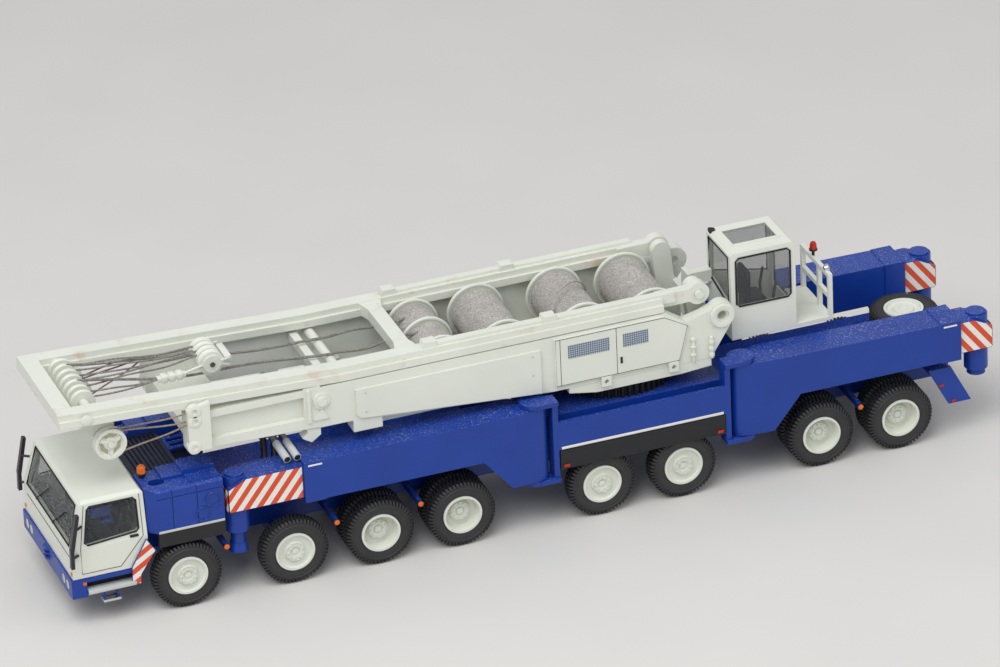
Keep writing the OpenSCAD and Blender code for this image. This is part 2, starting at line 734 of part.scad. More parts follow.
// Hollow outer arm of an outrigger, drawn from its hinge along X
module outrigger_arm(len, wheel_x, reach) {
  slot_half = jack_d / 2 + seat;
  color(BLUE) difference() {
    union() {
      intersection() {
        upright(arm_in, arm_out) polygon([[-ear_r, hinge_low_z], [10, hinge_low_z], [20, arm_low_z],
          [len, arm_low_z], [len, arm_top_z - 0.4], [6, hinge_top_z], [-ear_r, hinge_top_z]]);
        linear_extrude(2 * hinge_top_z) union() {
          circle(r = knuckle_r);
          polygon([[0, -knuckle_r], [7, arm_in], [len, arm_in], [len, arm_out], [7, arm_out],
            [0, knuckle_r]]);
        }
      }
      block([len - collar_len, arm_in - 0.4, arm_low_z - 0.4], [len, arm_out, arm_top_z]);
    }
    translate([wheel_x, -20, axle_z]) along_y() cylinder(r = tyre_r + 2, h = 40);
    translate([0, 0, -1]) cylinder(d = hinge_pin_d + 2 * run, h = 2 * hinge_top_z);
    block([arm_cavity_x, arm_in + arm_wall, arm_low_z + arm_floor],
      [len + 1, arm_out - arm_wall, arm_top_z - arm_roof]);
    block([reach - slot_half, jack_y - slot_half, hinge_low_z],
      [reach + len, jack_y + slot_half, 2 * hinge_top_z]);
  }
}

module front_arm() {
  outrigger_arm(front_arm_len, axle_4_x - front_hinge_x, front_jack_reach);
}

module rear_arm() {
  outrigger_arm(rear_arm_len, rear_hinge_x - axle_7_x, rear_jack_reach);
}

// Telescopic beam inside the arm, with the jack tube at its end
module outrigger_beam(reach) {
  low = arm_low_z + arm_floor + seat;
  high = arm_top_z - arm_roof - seat;
  inner = arm_cavity_x + 2;
  tip = reach + jack_d / 2 - 0.5;
  color(BLUE) difference() {
    union() {
      upright(arm_in + arm_wall + seat, arm_out - arm_wall - seat) polygon([[inner, low], [tip, low],
        [tip, high - box_slope_h], [tip - box_slope_len, high], [inner, high]]);
      translate([reach, jack_y, tube_low_z]) cylinder(d = jack_d, h = high - tube_low_z);
      translate([reach, jack_y, high - eps]) cylinder(d = jack_d - 1.6, h = 0.8);
    }
    translate([reach, jack_y, tube_low_z - 1]) cylinder(d = jack_rod_d + 2 * run, h = rod_len + 3);
  }
}

// Jack rod with its foot
module jack(reach, low) {
  foot_top = min(low + 3, tube_low_z - seat);
  color(BLUE) translate([reach, jack_y, 0]) {
    translate([0, 0, low]) cylinder(r1 = foot_r, r2 = jack_rod_d / 2 + 0.3, h = foot_top - low);
    translate([0, 0, low + 0.5]) cylinder(d = jack_rod_d, h = tube_low_z + rod_len - low);
  }
}

// Side girder outline with the boom foot eye
module side_girder_outline() {
  difference() {
    union() {
      polygon([[-28, girder_low_z], [knee_x, girder_low_z], [100, girder_mid_z], [tail_x, tail_low_z],
        [tail_x, wall_top_z], [-12, wall_top_z], [-19, eye_z + 0.4], [-25, eye_z + 1.8],
        [-eye_reach, eye_z + 4.6], [-eye_reach - 3.4, eye_z - 3.4]]);
      translate([-eye_reach, eye_z]) circle(r = 4.8);
    }
    translate([-eye_reach, eye_z]) circle(d = eye_d);
  }
}

// What stands out from the outer face of a side girder
module girder_dressing() {
  face = upper_y - eps;
  proud = upper_y + 0.8;
  upright(face, proud) polygon([[knee_x + 4, girder_low_z + 0.7], [panel_end_x - 1.4, girder_mid_z + 0.8],
    [panel_end_x, girder_mid_z + 2.4], [panel_end_x, panel_top_z], [knee_x + 4, panel_top_z]]);
  upright(face, proud) polygon([[-16.2, girder_low_z + 1.8], [knee_x - 1, girder_low_z + 1.8],
    [knee_x - 1, wall_top_z - 0.6], [-11, wall_top_z - 0.6], [-20, eye_z - 0.6]]);
  for (x = [-13.8, 10.8]) difference() {
    block([x - 1.8, face, girder_low_z - 1.6], [x + 1.8, upper_y + 1.4, girder_low_z + 2]);
    translate([x, face - 1, girder_low_z + 0.2]) along_y() cylinder(r = 0.8, h = 4);
  }
  upright(face, proud) polygon([[rib_x - 0.6, tail_low_z + 1], [rib_x + 0.6, tail_low_z + 1],
    [rib_x + 0.6, wall_top_z], [rib_x - 0.6, wall_top_z]]);
  translate([boss_x, face, eye_z + 0.4]) along_y() {
    cylinder(r = 2.9, h = 0.8);
    cylinder(r = 1.7, h = 1.6);
  }
  upright(face, upper_y + 0.6) polygon([[boss_x - 2.6, 58], [boss_x + 3, 58], [boss_x, 62.4]]);
  difference() {
    upright(face, upper_y + 2.2) polygon([[tail_plate_x, tail_low_z + 0.4], [tail_x, tail_low_z + 0.4],
      [tail_x, 72.9], [tail_plate_x, 74.5]]);
    for (z = [68.4, 72]) translate([156.6, face - 1, z]) along_y() cylinder(r = 0.9, h = 5);
  }
}

// Foot block, hook, boss rings and gantry rest on a side girder
module girder_fittings() {
  inner = upper_y - wall_t;
  block([foot_x, inner - 2, girder_low_z + 1], [foot_x + foot_len, upper_y, girder_mid_z + 1]);
  upright(inner, upper_y - 0.5) polygon([[rib_x - 4, tail_low_z], [rib_x - 4, 52], [rib_x - 0.6, 49.6],
    [rib_x + 2.5, 51.6], [rib_x + 0.6, 53.4], [rib_x + 1.6, tail_low_z]]);
  for (x = drum_x) translate([x - slew_x, inner - 1, drum_z]) along_y() cylinder(r = 3.6, h = 1 + eps);
  block([boss_x, inner, wall_top_z - eps], [boss_x + 6, upper_y, gantry_bottom(boss_x + gantry_reach) - run]);
}

// Upright with the pin that the gantry turns on
module gantry_support() {
  upright(leg_in_y - 3.4, leg_in_y - 0.4) polygon([[front_plate_x, floor_z], [front_plate_x + 7, floor_z],
    [3.4 - gantry_reach, gantry_z], [-gantry_reach - 3.4, gantry_z]]);
  translate([-gantry_reach, leg_in_y - 3.4, gantry_z]) along_y() cylinder(r = 3.4, h = 3);
  translate([-gantry_reach, leg_in_y - 1, gantry_z]) along_y() cylinder(d = gantry_pin_d, h = 6);
}

// Floor, front plates, gantry supports and cross members, fitted between the side girders
module frame_crosses() {
  in_y = upper_y - wall_t - run;
  difference() {
    union() {
      block([front_plate_x, -in_y, floor_z - 0.4], [99, in_y, floor_z + 1.6]);
      block([front_plate_x, -in_y, floor_z], [front_plate_x + 1.8, in_y, eye_z - 3.6]);
      block([front_plate_x, ocab_y0 - 1, floor_z], [front_plate_x + 1.8, ocab_y0 + 5, arm_z + 5]);
      both_sides() gantry_support();
      block([140, -in_y, tail_low_z + 0.6], [tail_x - 2, in_y, tail_low_z + 4.4]);
      block([96, -in_y, girder_mid_z + 0.4], [104, in_y, girder_mid_z + 5.4]);
      translate([tube_x, -in_y, 67.9]) along_y() cylinder(r = 1.7, h = 2 * in_y);
      block([tube_x + 4.4, -in_y, 66], [tube_x + 7.2, in_y, 69]);
    }
    block([40, 9 - upper_y, girder_low_z - 5], [90, upper_y - 9, floor_z + 5]);
    both_sides() block([foot_x - run, in_y - 2, girder_low_z],
      [foot_x + foot_len + run, upper_y, girder_mid_z + 1 + run]);
  }
}

module upper_frame() {
  color(IVORY) translate([slew_x, 0, 0]) {
    slewing_deck();
    frame_crosses();
    difference() {
      both_sides() {
        upright(upper_y - wall_t, upper_y) side_girder_outline();
        girder_dressing();
        girder_fittings();
      }
      for (x = drum_x) translate([x - slew_x, 1.5 - upper_y, drum_z]) along_y()
        cylinder(d = drum_shaft_d + 2 * run, h = 2 * upper_y - 3);
      both_sides() block([rib_x + 1.6, upper_y - 2.2, tail_low_z + 2.6],
        [tail_plate_x - 0.6, upper_y + 3, wall_top_z - 2.4]);
    }
  }
}

// Deck under the side girders that turns on the slewing ring
module slewing_deck() {
  deck_outline = [[-28, upper_z + 0.8], [-17, upper_z], [14, upper_z], [24, girder_low_z - 2],
    [24, girder_low_z - run], [-28, girder_low_z - run]];
  upright(run - upper_y, upper_y - run) polygon(deck_outline);
}

// Underside of the gantry legs, at a distance from the gantry hinge
function gantry_bottom(d) = gantry_z - 2.5 + (d > gantry_knee ? (d - gantry_knee) * gantry_rise : 0);

// Outline of a gantry leg between its hinge and its head, h deep
module leg_outline(h) {
  near = 14;
  polygon([[near, gantry_bottom(near)], [gantry_knee, gantry_bottom(gantry_knee)],
    [gantry_len, gantry_bottom(gantry_len)], [gantry_len, gantry_bottom(gantry_len) + h],
    [gantry_knee, gantry_bottom(gantry_knee) + h], [near, gantry_bottom(near) + h]]);
}

// Gantry leg in two levels, with its hinge ear, raised strip and end blocks
module gantry_leg() {
  root = gantry_bottom(0);
  top = root + leg_h;
  strip_y = leg_in_y + 2.2;
  upright(leg_in_y, leg_out_y) leg_outline(0.55 * leg_h);
  upright(leg_in_y + 0.9, leg_out_y - 0.9) leg_outline(leg_h);
  upright(leg_in_y, leg_in_y + 3.8) {
    translate([0, gantry_z]) circle(r = 4);
    polygon([[0, gantry_z - 2.4], [15, root], [15, top], [0, gantry_z + 2.4]]);
  }
  upright(strip_y, strip_y + 3) polygon([[9, root + 2], [98, root + 2], [98, top + 0.9], [9, top + 0.9]]);
  for (d = [54.7, 97.7]) upright(strip_y - 0.6, strip_y + 3.6) polygon([[d - 3, top - 1], [d + 3, top - 1],
    [d + 2.2, top + 2.1], [d - 2.2, top + 2.1]]);
}

module gantry() {
  head_low = gantry_bottom(gantry_len);
  cross_x = 105;
  color(IVORY) translate([gantry_x, 0, 0]) {
    difference() {
      union() {
        both_sides() gantry_leg();
        translate([cross_x, 0, gantry_z - 2.2]) linear_extrude(4.2) polygon([[-4, leg_in_y + 1],
          [4, leg_in_y + 1], [2.6, leg_in_y - 4], [2.6, 4 - leg_in_y], [4, -leg_in_y - 1],
          [-4, -leg_in_y - 1], [-2.6, 4 - leg_in_y], [-2.6, leg_in_y - 4]]);
        block([gantry_len - 6, -leg_in_y - 1, head_low], [gantry_len, leg_in_y + 1, head_low + leg_h]);
        translate([head_pin_d, -leg_in_y - 1, head_low + 2.2]) along_y()
          cylinder(r = head_pin_r, h = 2 * leg_in_y + 2);
      }
      both_sides() translate([0, leg_in_y - 1, gantry_z]) along_y()
        cylinder(d = gantry_pin_d + 2 * run, h = 8);
    }
    both_sides() sheave_cheek();
  }
}

// Plate under the gantry head that carries a large sheave on its pin
module sheave_cheek() {
  near = hang_d - 2;
  far = gantry_len - 5;
  upright(cheek_y, cheek_y + 0.9) {
    polygon([[near, gantry_bottom(near) - run], [far, gantry_bottom(far) - run], [hang_d + 2.6, hang_z],
      [hang_d - 2.6, hang_z]]);
    translate([hang_d, hang_z]) circle(r = 2.6);
  }
  translate([hang_d, cheek_y, hang_z]) along_y() cylinder(r = hang_pin_r, h = 4.6);
}

module gantry_sheaves() {
  head_low = gantry_bottom(gantry_len);
  bore = head_pin_r + run;
  color(STEEL) translate([gantry_x, 0, 0]) {
    for (y = [-12 : 4 : 12]) translate([head_pin_d, y - 0.9, head_low + 2.2]) along_y() rotate_extrude()
      polygon([[bore, 0], [4.2, 0], [4.2, 0.3], [3.5, 0.9], [4.2, 1.5], [4.2, 1.8], [bore, 1.8]]);
    both_sides() translate([hang_d, cheek_y + 1.1, hang_z]) along_y() rotate_extrude()
      polygon([[hang_pin_r + run, 0], [hang_r, 0], [hang_r, 0.5], [hang_r - 0.9, 1.5], [hang_r, 2.5],
        [hang_r, 3], [hang_r - 1.2, 3], [hang_r - 1.6, 2.2], [2.4, 2.2], [2, 3], [hang_pin_r + run, 3]]);
  }
}

// Winch drum with its flanges and the rope wound on it
module drum(i) {
  double = i == 3;
  rope_r = double ? 6.5 : 7.5;
  flange_r = double ? drum_flange_r - 0.8 : drum_flange_r;
  flange_t = 1.2;
  far = drum_half - flange_t;
  bore = drum_shaft_d / 2 + run;
  color(ROPE) translate([drum_x[i], 0, drum_z]) {
    translate([0, 1.8 - upper_y, 0]) along_y() cylinder(d = drum_shaft_d, h = 2 * upper_y - 3.6);
    difference() {
      union() {
        translate([0, -drum_half, 0]) along_y() cylinder(r = rope_r, h = 2 * drum_half);
        for (y = double ? [-drum_half, -flange_t / 2, far] : [-drum_half, far])
          translate([0, y, 0]) along_y() cylinder(r = flange_r, h = flange_t);
      }
      translate([0, -drum_half - 1, 0]) along_y() cylinder(r = bore, h = 2 * drum_half + 2);
    }
  }
}

// Outer volume of the operator's cab, shrunk by inset on every side
module ocab_volume(inset) {
  upright(ocab_y0 + inset, ocab_y1 - inset) polygon([[ocab_x0 + inset, ocab_z + inset],
    [ocab_x1 - inset, ocab_z + inset],
    [ocab_x1 - inset, ocab_roof_z - 1 - inset], [ocab_x1 - 1 - inset, ocab_roof_z - inset],
    [ocab_x0 + 1 + inset, ocab_roof_z - inset], [ocab_x0 + inset, ocab_roof_z - 1 - inset]]);
}

module ocab_windows(inset) {
  low = ocab_sill_z + inset;
  high = ocab_roof_z - 2 - inset;
  x0 = ocab_x0 + 2 + inset;
  x1 = ocab_x1 - 2 - inset;
  y0 = ocab_y0 + 2 + inset;
  y1 = ocab_y1 - 2 - inset;
  cut = 1;
  upright(ocab_y1 - 2, ocab_y1 + 2) polygon([[x0, low + cut], [x0 + cut, low], [x1 - cut, low],
    [x1, low + cut], [x1, high - cut], [x1 - cut, high], [x0 + cut, high], [x0, high - cut]]);
  upright(ocab_y0 - 2, ocab_y0 + 2) polygon([[x0, low], [x1, low + 4], [x1, high], [x0, high]]);
  lengthwise(ocab_x1 - 2, ocab_x1 + 2) polygon([[y0, low + 4], [y1, low], [y1, high], [y0, high]]);
  lengthwise(ocab_x0 - 2, ocab_x0 + 2) polygon([[y0, low - 4], [y1, low - 4], [y1, high], [y0, high]]);
  block([x0 + 2, y0 + 2, ocab_roof_z - 2], [x1 - 2, y1 - 5, ocab_roof_z + 2]);
}

module operator_cab() {
  rail_x = ocab_x0 - platform_len;
  rail_y = ocab_y0 - 4;
  rail_t = 1.5;
  color(IVORY) {
    difference() {
      ocab_volume(0);
      ocab_volume(ocab_wall);
      ocab_windows(0);
    }
    block([rail_x, rail_y, ocab_z], [ocab_x0 + eps, ocab_y1, ocab_z + 1.2]);
    for (y = [rail_y, (ocab_y0 + ocab_y1) / 2, ocab_y1 - rail_t])
      block([rail_x, y, ocab_z], [rail_x + rail_t, y + rail_t, ocab_z + 17]);
    for (z = [8, 16]) block([rail_x, rail_y, ocab_z + z], [rail_x + rail_t, ocab_y1, ocab_z + z + rail_t]);
    block([ocab_x1 - eps, ocab_y0 + 0.5, arm_z], [slew_x + front_plate_x - run, ocab_y0 + 4, arm_z + 4.5]);
  }
}

module operator_glazing() {
  color(GLASS) intersection() {
    difference() {
      ocab_volume(0.2);
      ocab_volume(0.7);
    }
    ocab_windows(run);
  }
}

chassis();
cab_shell();
cab_glazing();
cab_interior();
front_bumper();
engine_hood();
radiator_deck();
side_skirts();
exhaust_pipes();
marker_lamps();
mirrors();
slew_ring();
spare_tyre();
spare_rim();
knuckle(0, 1);  // knuckle_1_left
knuckle(0, -1);  // knuckle_1_right
knuckle(1, 1);  // knuckle_2_left
knuckle(1, -1);  // knuckle_2_right
steered_tyre(0, 1);  // tyre_1_left
steered_tyre(0, -1);  // tyre_1_right
steered_tyre(1, 1);  // tyre_2_left
steered_tyre(1, -1);  // tyre_2_right
steered_rim(0, 1);  // rim_1_left
steered_rim(0, -1);  // rim_1_right
steered_rim(1, 1);  // rim_2_left
steered_rim(1, -1);  // rim_2_right
rod_tyres(axle_3_x, true);  // tyres_3
rod_tyres(axle_4_x, true);  // tyres_4
rod_tyres(axle_5_x, false);  // tyres_5
rod_tyres(axle_6_x, false);  // tyres_6
rod_tyres(axle_7_x, true);  // tyres_7
rod_tyres(axle_8_x, true);  // tyres_8
rod_wheelset(axle_3_x, true);  // wheelset_3
rod_wheelset(axle_4_x, true);  // wheelset_4
rod_wheelset(axle_5_x, false);  // wheelset_5
rod_wheelset(axle_6_x, false);  // wheelset_6
rod_wheelset(axle_7_x, true);  // wheelset_7
rod_wheelset(axle_8_x, true);  // wheelset_8
corner(true, true) front_arm();  // arm_front_left
corner(true, false) front_arm();  // arm_front_right
corner(false, true) rear_arm();  // arm_rear_left
corner(false, false) rear_arm();  // arm_rear_right
corner(true, true) outrigger_beam(front_jack_reach);  // beam_front_left
corner(true, false) outrigger_beam(front_jack_reach);  // beam_front_right
corner(false, true) outrigger_beam(rear_jack_reach);  // beam_rear_left
corner(false, false) outrigger_beam(rear_jack_reach);  // beam_rear_right
corner(true, true) jack(front_jack_reach, foot_z);  // jack_front_left
corner(true, false) jack(front_jack_reach, foot_z);  // jack_front_right
corner(false, true) jack(rear_jack_reach, rear_foot_z);  // jack_rear_left
corner(false, false) jack(rear_jack_reach, rear_foot_z);  // jack_rear_right
upper_frame();
operator_cab();
operator_glazing();
gantry();
gantry_sheaves();
drum(0);  // drum_1
drum(1);  // drum_2
drum(2);  // drum_3
drum(3);  // drum_4
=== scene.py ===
"""Die-cast scale model of a mobile crane: finishes, fine pieces, studio light and camera."""

import math

import bmesh
import bpy
from mathutils import Matrix, Vector


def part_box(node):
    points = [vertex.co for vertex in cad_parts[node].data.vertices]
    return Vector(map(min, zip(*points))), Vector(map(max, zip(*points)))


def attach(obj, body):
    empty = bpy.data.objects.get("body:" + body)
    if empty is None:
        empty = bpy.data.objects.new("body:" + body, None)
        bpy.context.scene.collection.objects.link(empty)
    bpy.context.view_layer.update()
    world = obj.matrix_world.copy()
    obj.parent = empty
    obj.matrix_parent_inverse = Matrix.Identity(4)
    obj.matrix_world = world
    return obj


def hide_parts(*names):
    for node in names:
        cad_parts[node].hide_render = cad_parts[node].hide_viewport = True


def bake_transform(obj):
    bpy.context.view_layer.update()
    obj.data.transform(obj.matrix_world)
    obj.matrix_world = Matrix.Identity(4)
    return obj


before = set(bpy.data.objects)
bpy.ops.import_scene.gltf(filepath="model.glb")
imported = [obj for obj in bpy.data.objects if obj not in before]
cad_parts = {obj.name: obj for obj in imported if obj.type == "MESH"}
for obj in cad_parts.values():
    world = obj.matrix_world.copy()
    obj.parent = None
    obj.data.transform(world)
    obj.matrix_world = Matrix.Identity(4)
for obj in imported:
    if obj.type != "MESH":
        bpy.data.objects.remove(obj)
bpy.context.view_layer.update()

MM = 0.001
SMOOTH_ANGLE = math.radians(32)
WELD = 0.002
LEFT_AND_RIGHT = (1, -1)
SIDES = (("left", 1), ("right", -1))
CORNERS = [(f"{end}_{side_name}", ahead, side)
           for end, ahead in (("front", 1), ("rear", -1)) for side_name, side in SIDES]


def box(node):
    """Lowest and highest corner of a solid of the model, in millimetres."""
    low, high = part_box(node)
    return low / MM, high / MM


def middle(node):
    """Centre of a solid of the model, in millimetres."""
    low, high = box(node)
    return (low + high) / 2


# Driving dimensions in millimetres, most of them read from the solids
TYRE_LOW, TYRE_HIGH = box("tyre_1_left")
TYRE_R = (TYRE_HIGH.z - TYRE_LOW.z) / 2
TYRE_W = TYRE_HIGH.y - TYRE_LOW.y
TRACK_OUT = TYRE_HIGH.y
TWIN_GAP = 0.8
RIM_LOW, RIM_HIGH = box("rim_1_left")
RIM_R = (RIM_HIGH.z - RIM_LOW.z) / 2
CAB_LOW, CAB_HIGH = box("cab_shell")
CAB_BELT_Z = CAB_LOW.z + 11
BUMPER_FRONT = box("front_bumper")[1].x
HOOD_LOW, HOOD_HIGH = box("engine_hood")
HOOD_Y = 29.0
HOOD_TOP = 46.4
SKIRT_LOW, SKIRT_HIGH = box("side_skirts")
BASE_Y = SKIRT_HIGH.y - 0.4
SLEW = middle("slew_ring")
UPPER_Y = 24.5
PANEL_Y = UPPER_Y + 0.8
HOOK_X = SLEW.x + 156.6
GANTRY_HIGH = box("gantry")[1]
HEAD_X = GANTRY_HIGH.x
SHEAVE_X = HEAD_X - 18.2
SHEAVE_Z = 63.2
OCAB_LOW, OCAB_HIGH = box("operator_glazing")


# Materials

BUMP_DEPTH = 0.1
PRINT_PITCH = 0.8


def linear(code):
    """Linear colour with full opacity from an sRGB hex value."""
    parts = [int(code[i:i + 2], 16) / 255 for i in (1, 3, 5)]
    return [p / 12.92 if p <= 0.04045 else ((p + 0.055) / 1.055) ** 2.4 for p in parts] + [1.0]


def add_node(tree, kind, values, **settings):
    """Adds a shader node, with its settings, and sets or links its inputs."""
    made = tree.nodes.new(kind)
    for name, value in settings.items():
        setattr(made, name, value)
    for name, value in values.items():
        if isinstance(value, bpy.types.NodeSocket):
            tree.links.new(value, made.inputs[name])
        else:
            made.inputs[name].default_value = value
    return made


def surface(name, **values):
    """A new material with its tree and shader, with values such as Roughness on the shader's own sockets."""
    material = bpy.data.materials.new(name)
    material.use_nodes = True
    tree = material.node_tree
    shader = tree.nodes["Principled BSDF"]
    for socket, value in values.items():
        shader.inputs[socket.replace("_", " ")].default_value = value
    return material, tree, shader


def grain(size):
    """Noise scale for features of that size in millimetres."""
    return 1 / (size * MM)


def bands(pitch):
    """Wave scale for bands of that pitch in millimetres."""
    return math.pi / 10 / (pitch * MM)


def clouded(tree, size, detail, lit, shade):
    """Two tones in soft patches of that size in millimetres: the place, the patches and the colour."""
    place = add_node(tree, "ShaderNodeTexCoord", {}).outputs["Object"]
    cloud = add_node(tree, "ShaderNodeTexNoise", {"Vector": place, "Scale": grain(size), "Detail": detail})
    patches = cloud.outputs["Fac"]
    tone = add_node(tree, "ShaderNodeMixRGB",
                    {"Fac": patches, "Color1": linear(lit), "Color2": linear(shade)})
    return place, patches, tone.outputs["Color"]


def uneven_gloss(tree, shader, patches, low, high):
    """Roughness that runs between two values with the patches."""
    rough = add_node(tree, "ShaderNodeMapRange", {"Value": patches, "To Min": low, "To Max": high})
    tree.links.new(rough.outputs["Result"], shader.inputs["Roughness"])


def relief(tree, shader, height, strength, soft=0.0):
    """Fine bumps, over edges that look rounded by a radius in millimetres."""
    bump = add_node(tree, "ShaderNodeBump",
                    {"Height": height, "Strength": strength, "Distance": BUMP_DEPTH * MM})
    if soft:
        edge = add_node(tree, "ShaderNodeBevel", {"Radius": soft * MM}, samples=4)
        tree.links.new(edge.outputs["Normal"], bump.inputs["Normal"])
    tree.links.new(bump.outputs["Normal"], shader.inputs["Normal"])


def enamel(name, lit, shade, dust, stain=None):
    """Sprayed enamel on metal: thick, a little orange-peel, soft at the edges, dusty where it lies flat."""
    material, tree, shader = surface(name, IOR=1.46)
    place, patches, colour = clouded(tree, 16, 4.0, lit, shade)
    if stain:
        smear = add_node(tree, "ShaderNodeTexNoise", {"Vector": place, "Scale": grain(7), "Detail": 6.0})
        patch = add_node(tree, "ShaderNodeMapRange", {"Value": smear.outputs["Fac"], "From Min": 0.6,
                                                      "From Max": 0.78, "To Max": 0.55})
        mixed = add_node(tree, "ShaderNodeMixRGB",
                         {"Fac": patch.outputs["Result"], "Color1": colour, "Color2": linear(stain)})
        colour = mixed.outputs["Color"]
    # Specks of about 0.5 mm, on faces that look up
    speck = add_node(tree, "ShaderNodeTexNoise", {"Vector": place, "Scale": grain(0.5), "Detail": 3.0})
    spots = add_node(tree, "ShaderNodeMapRange", {"Value": speck.outputs["Fac"], "From Min": 0.57,
                                                  "From Max": 0.72, "To Max": dust})
    facing = add_node(tree, "ShaderNodeNewGeometry", {})
    upward = add_node(tree, "ShaderNodeSeparateXYZ", {"Vector": facing.outputs["Normal"]})
    flat = add_node(tree, "ShaderNodeMapRange",
                    {"Value": upward.outputs["Z"], "From Min": 0.35, "From Max": 0.9})
    share = add_node(tree, "ShaderNodeMath", {0: spots.outputs["Result"], 1: flat.outputs["Result"]},
                     operation="MULTIPLY")
    dusty = add_node(tree, "ShaderNodeMixRGB",
                     {"Fac": share.outputs["Value"], "Color1": colour, "Color2": linear("#d9d6cf")})
    tree.links.new(dusty.outputs["Color"], shader.inputs["Base Color"])
    uneven_gloss(tree, shader, patches, 0.28, 0.46)
    peel = add_node(tree, "ShaderNodeTexNoise", {"Vector": place, "Scale": grain(1.4)})
    relief(tree, shader, peel.outputs["Fac"], 0.12, soft=0.22)
    return material


def moulded(name, lit, shade, roughness, texture, ribs=0.0):
    """Moulded plastic or rubber: matt, finely grained or ribbed across X, greyer where it has been handled."""
    material, tree, shader = surface(name, IOR=1.5)
    place, patches, colour = clouded(tree, 5, 5.0, lit, shade)
    tree.links.new(colour, shader.inputs["Base Color"])
    uneven_gloss(tree, shader, patches, roughness - 0.1, roughness + 0.1)
    if ribs:
        fine = add_node(tree, "ShaderNodeTexWave", {"Vector": place, "Scale": bands(ribs)},
                        bands_direction="X")
    else:
        fine = add_node(tree, "ShaderNodeTexNoise", {"Vector": place, "Scale": grain(texture), "Detail": 2.0})
    relief(tree, shader, fine.outputs["Fac"], 0.9 if ribs else 0.25, soft=0.15)
    return material


def window_pane(name, tint, film, dust):
    """Thin clear styrene with dust specks of about 0.6 mm, most of them on panes that face front."""
    material, tree, shader = surface(name, IOR=1.59)
    place = add_node(tree, "ShaderNodeTexCoord", {}).outputs["Object"]
    cloud = add_node(tree, "ShaderNodeTexNoise", {"Vector": place, "Scale": grain(6), "Detail": 4.0})
    grit = add_node(tree, "ShaderNodeTexNoise", {"Vector": place, "Scale": grain(0.6), "Detail": 4.0})
    specks = add_node(tree, "ShaderNodeMapRange",
                      {"Value": grit.outputs["Fac"], "From Min": 0.5, "From Max": 0.64})
    tone = add_node(tree, "ShaderNodeMixRGB", {"Fac": specks.outputs["Result"], "Color1": linear(tint),
                                               "Color2": linear("#8a8d8e")})
    tree.links.new(tone.outputs["Color"], shader.inputs["Base Color"])
    facing = add_node(tree, "ShaderNodeNewGeometry", {})
    ahead = add_node(tree, "ShaderNodeSeparateXYZ", {"Vector": facing.outputs["Normal"]})
    front = add_node(tree, "ShaderNodeMapRange", {"Value": ahead.outputs["X"], "From Min": 0.3,
                                                  "From Max": 0.9, "To Min": 0.12 * dust, "To Max": dust})
    lying = add_node(tree, "ShaderNodeMath", {0: specks.outputs["Result"], 1: front.outputs["Result"]},
                     operation="MULTIPLY")
    cover = add_node(tree, "ShaderNodeMath", {0: lying.outputs["Value"], 1: film}, operation="ADD")
    tree.links.new(cover.outputs["Value"], shader.inputs["Alpha"])
    uneven_gloss(tree, shader, cloud.outputs["Fac"], 0.04, 0.16)
    return material


def lamp_plastic(name, lit, shade, share):
    """Clear coloured lamp plastic: lets some light through, with fine scratches that haze it in patches."""
    material, tree, shader = surface(name, IOR=1.49, Transmission_Weight=share)
    _, patches, colour = clouded(tree, 2, 6.0, lit, shade)
    tree.links.new(colour, shader.inputs["Base Color"])
    uneven_gloss(tree, shader, patches, 0.06, 0.25)
    return material


def plated(name, lit, shade, roughness):
    """Bright plating or bare steel: mirror-like, clouded where fingers and air have dulled it."""
    material, tree, shader = surface(name, Metallic=1.0)
    _, patches, colour = clouded(tree, 3, 5.0, lit, shade)
    tree.links.new(colour, shader.inputs["Base Color"])
    uneven_gloss(tree, shader, patches, roughness, roughness + 0.2)
    return material


def twine(name, lit, shade, lay):
    """Twisted thread: strands of the given lay in mm with painted highlight and shade where they catch the
    light, uneven in tone, with no gloss.
    """
    material, tree, shader = surface(name, Roughness=0.85, Sheen_Weight=0.2)
    place = add_node(tree, "ShaderNodeTexCoord", {}).outputs["Object"]
    strand = add_node(tree, "ShaderNodeTexNoise", {"Vector": place, "Scale": grain(lay), "Detail": 3.0})
    cloud = add_node(tree, "ShaderNodeTexNoise", {"Vector": place, "Scale": grain(9), "Detail": 3.0})
    # Speckle at strand size from the shade tone to the lit tone: painted highlight and shade of the twisted
    # strands, together with their uneven tone; the same noise gives their bumps
    strand_highlight = add_node(tree, "ShaderNodeMapRange",
                     {"Value": strand.outputs["Fac"], "From Min": 0.3, "From Max": 0.7})
    tone = add_node(tree, "ShaderNodeMixRGB",
                    {"Fac": strand_highlight.outputs["Result"], "Color1": linear(shade), "Color2": linear(lit)})
    dull = add_node(tree, "ShaderNodeMapRange", {"Value": cloud.outputs["Fac"], "From Min": 0.35,
                                                 "From Max": 0.75, "To Max": 0.5})
    worn = add_node(tree, "ShaderNodeMixRGB",
                    {"Fac": dull.outputs["Result"], "Color1": tone.outputs["Color"], "Color2": linear(shade)})
    tree.links.new(worn.outputs["Color"], shader.inputs["Base Color"])
    relief(tree, shader, strand.outputs["Fac"], 0.6)
    return material


def printed_mesh(name, line, ground):
    """Tampo-printed grille on enamel: fine crossed lines, drawn coarse enough to show."""
    material, tree, shader = surface(name, Roughness=0.45)
    place = add_node(tree, "ShaderNodeTexCoord", {}).outputs["Object"]
    pitch = {"Vector": place, "Scale": bands(PRINT_PITCH)}
    across = add_node(tree, "ShaderNodeTexWave", pitch, bands_direction="X")
    upward = add_node(tree, "ShaderNodeTexWave", pitch, bands_direction="Z")
    holes = add_node(tree, "ShaderNodeMath", {0: across.outputs["Fac"], 1: upward.outputs["Fac"]},
                     operation="MULTIPLY")
    tone = add_node(tree, "ShaderNodeMixRGB",
                    {"Fac": holes.outputs["Value"], "Color1": linear(line), "Color2": linear(ground)})
    tree.links.new(tone.outputs["Color"], shader.inputs["Base Color"])
    return material


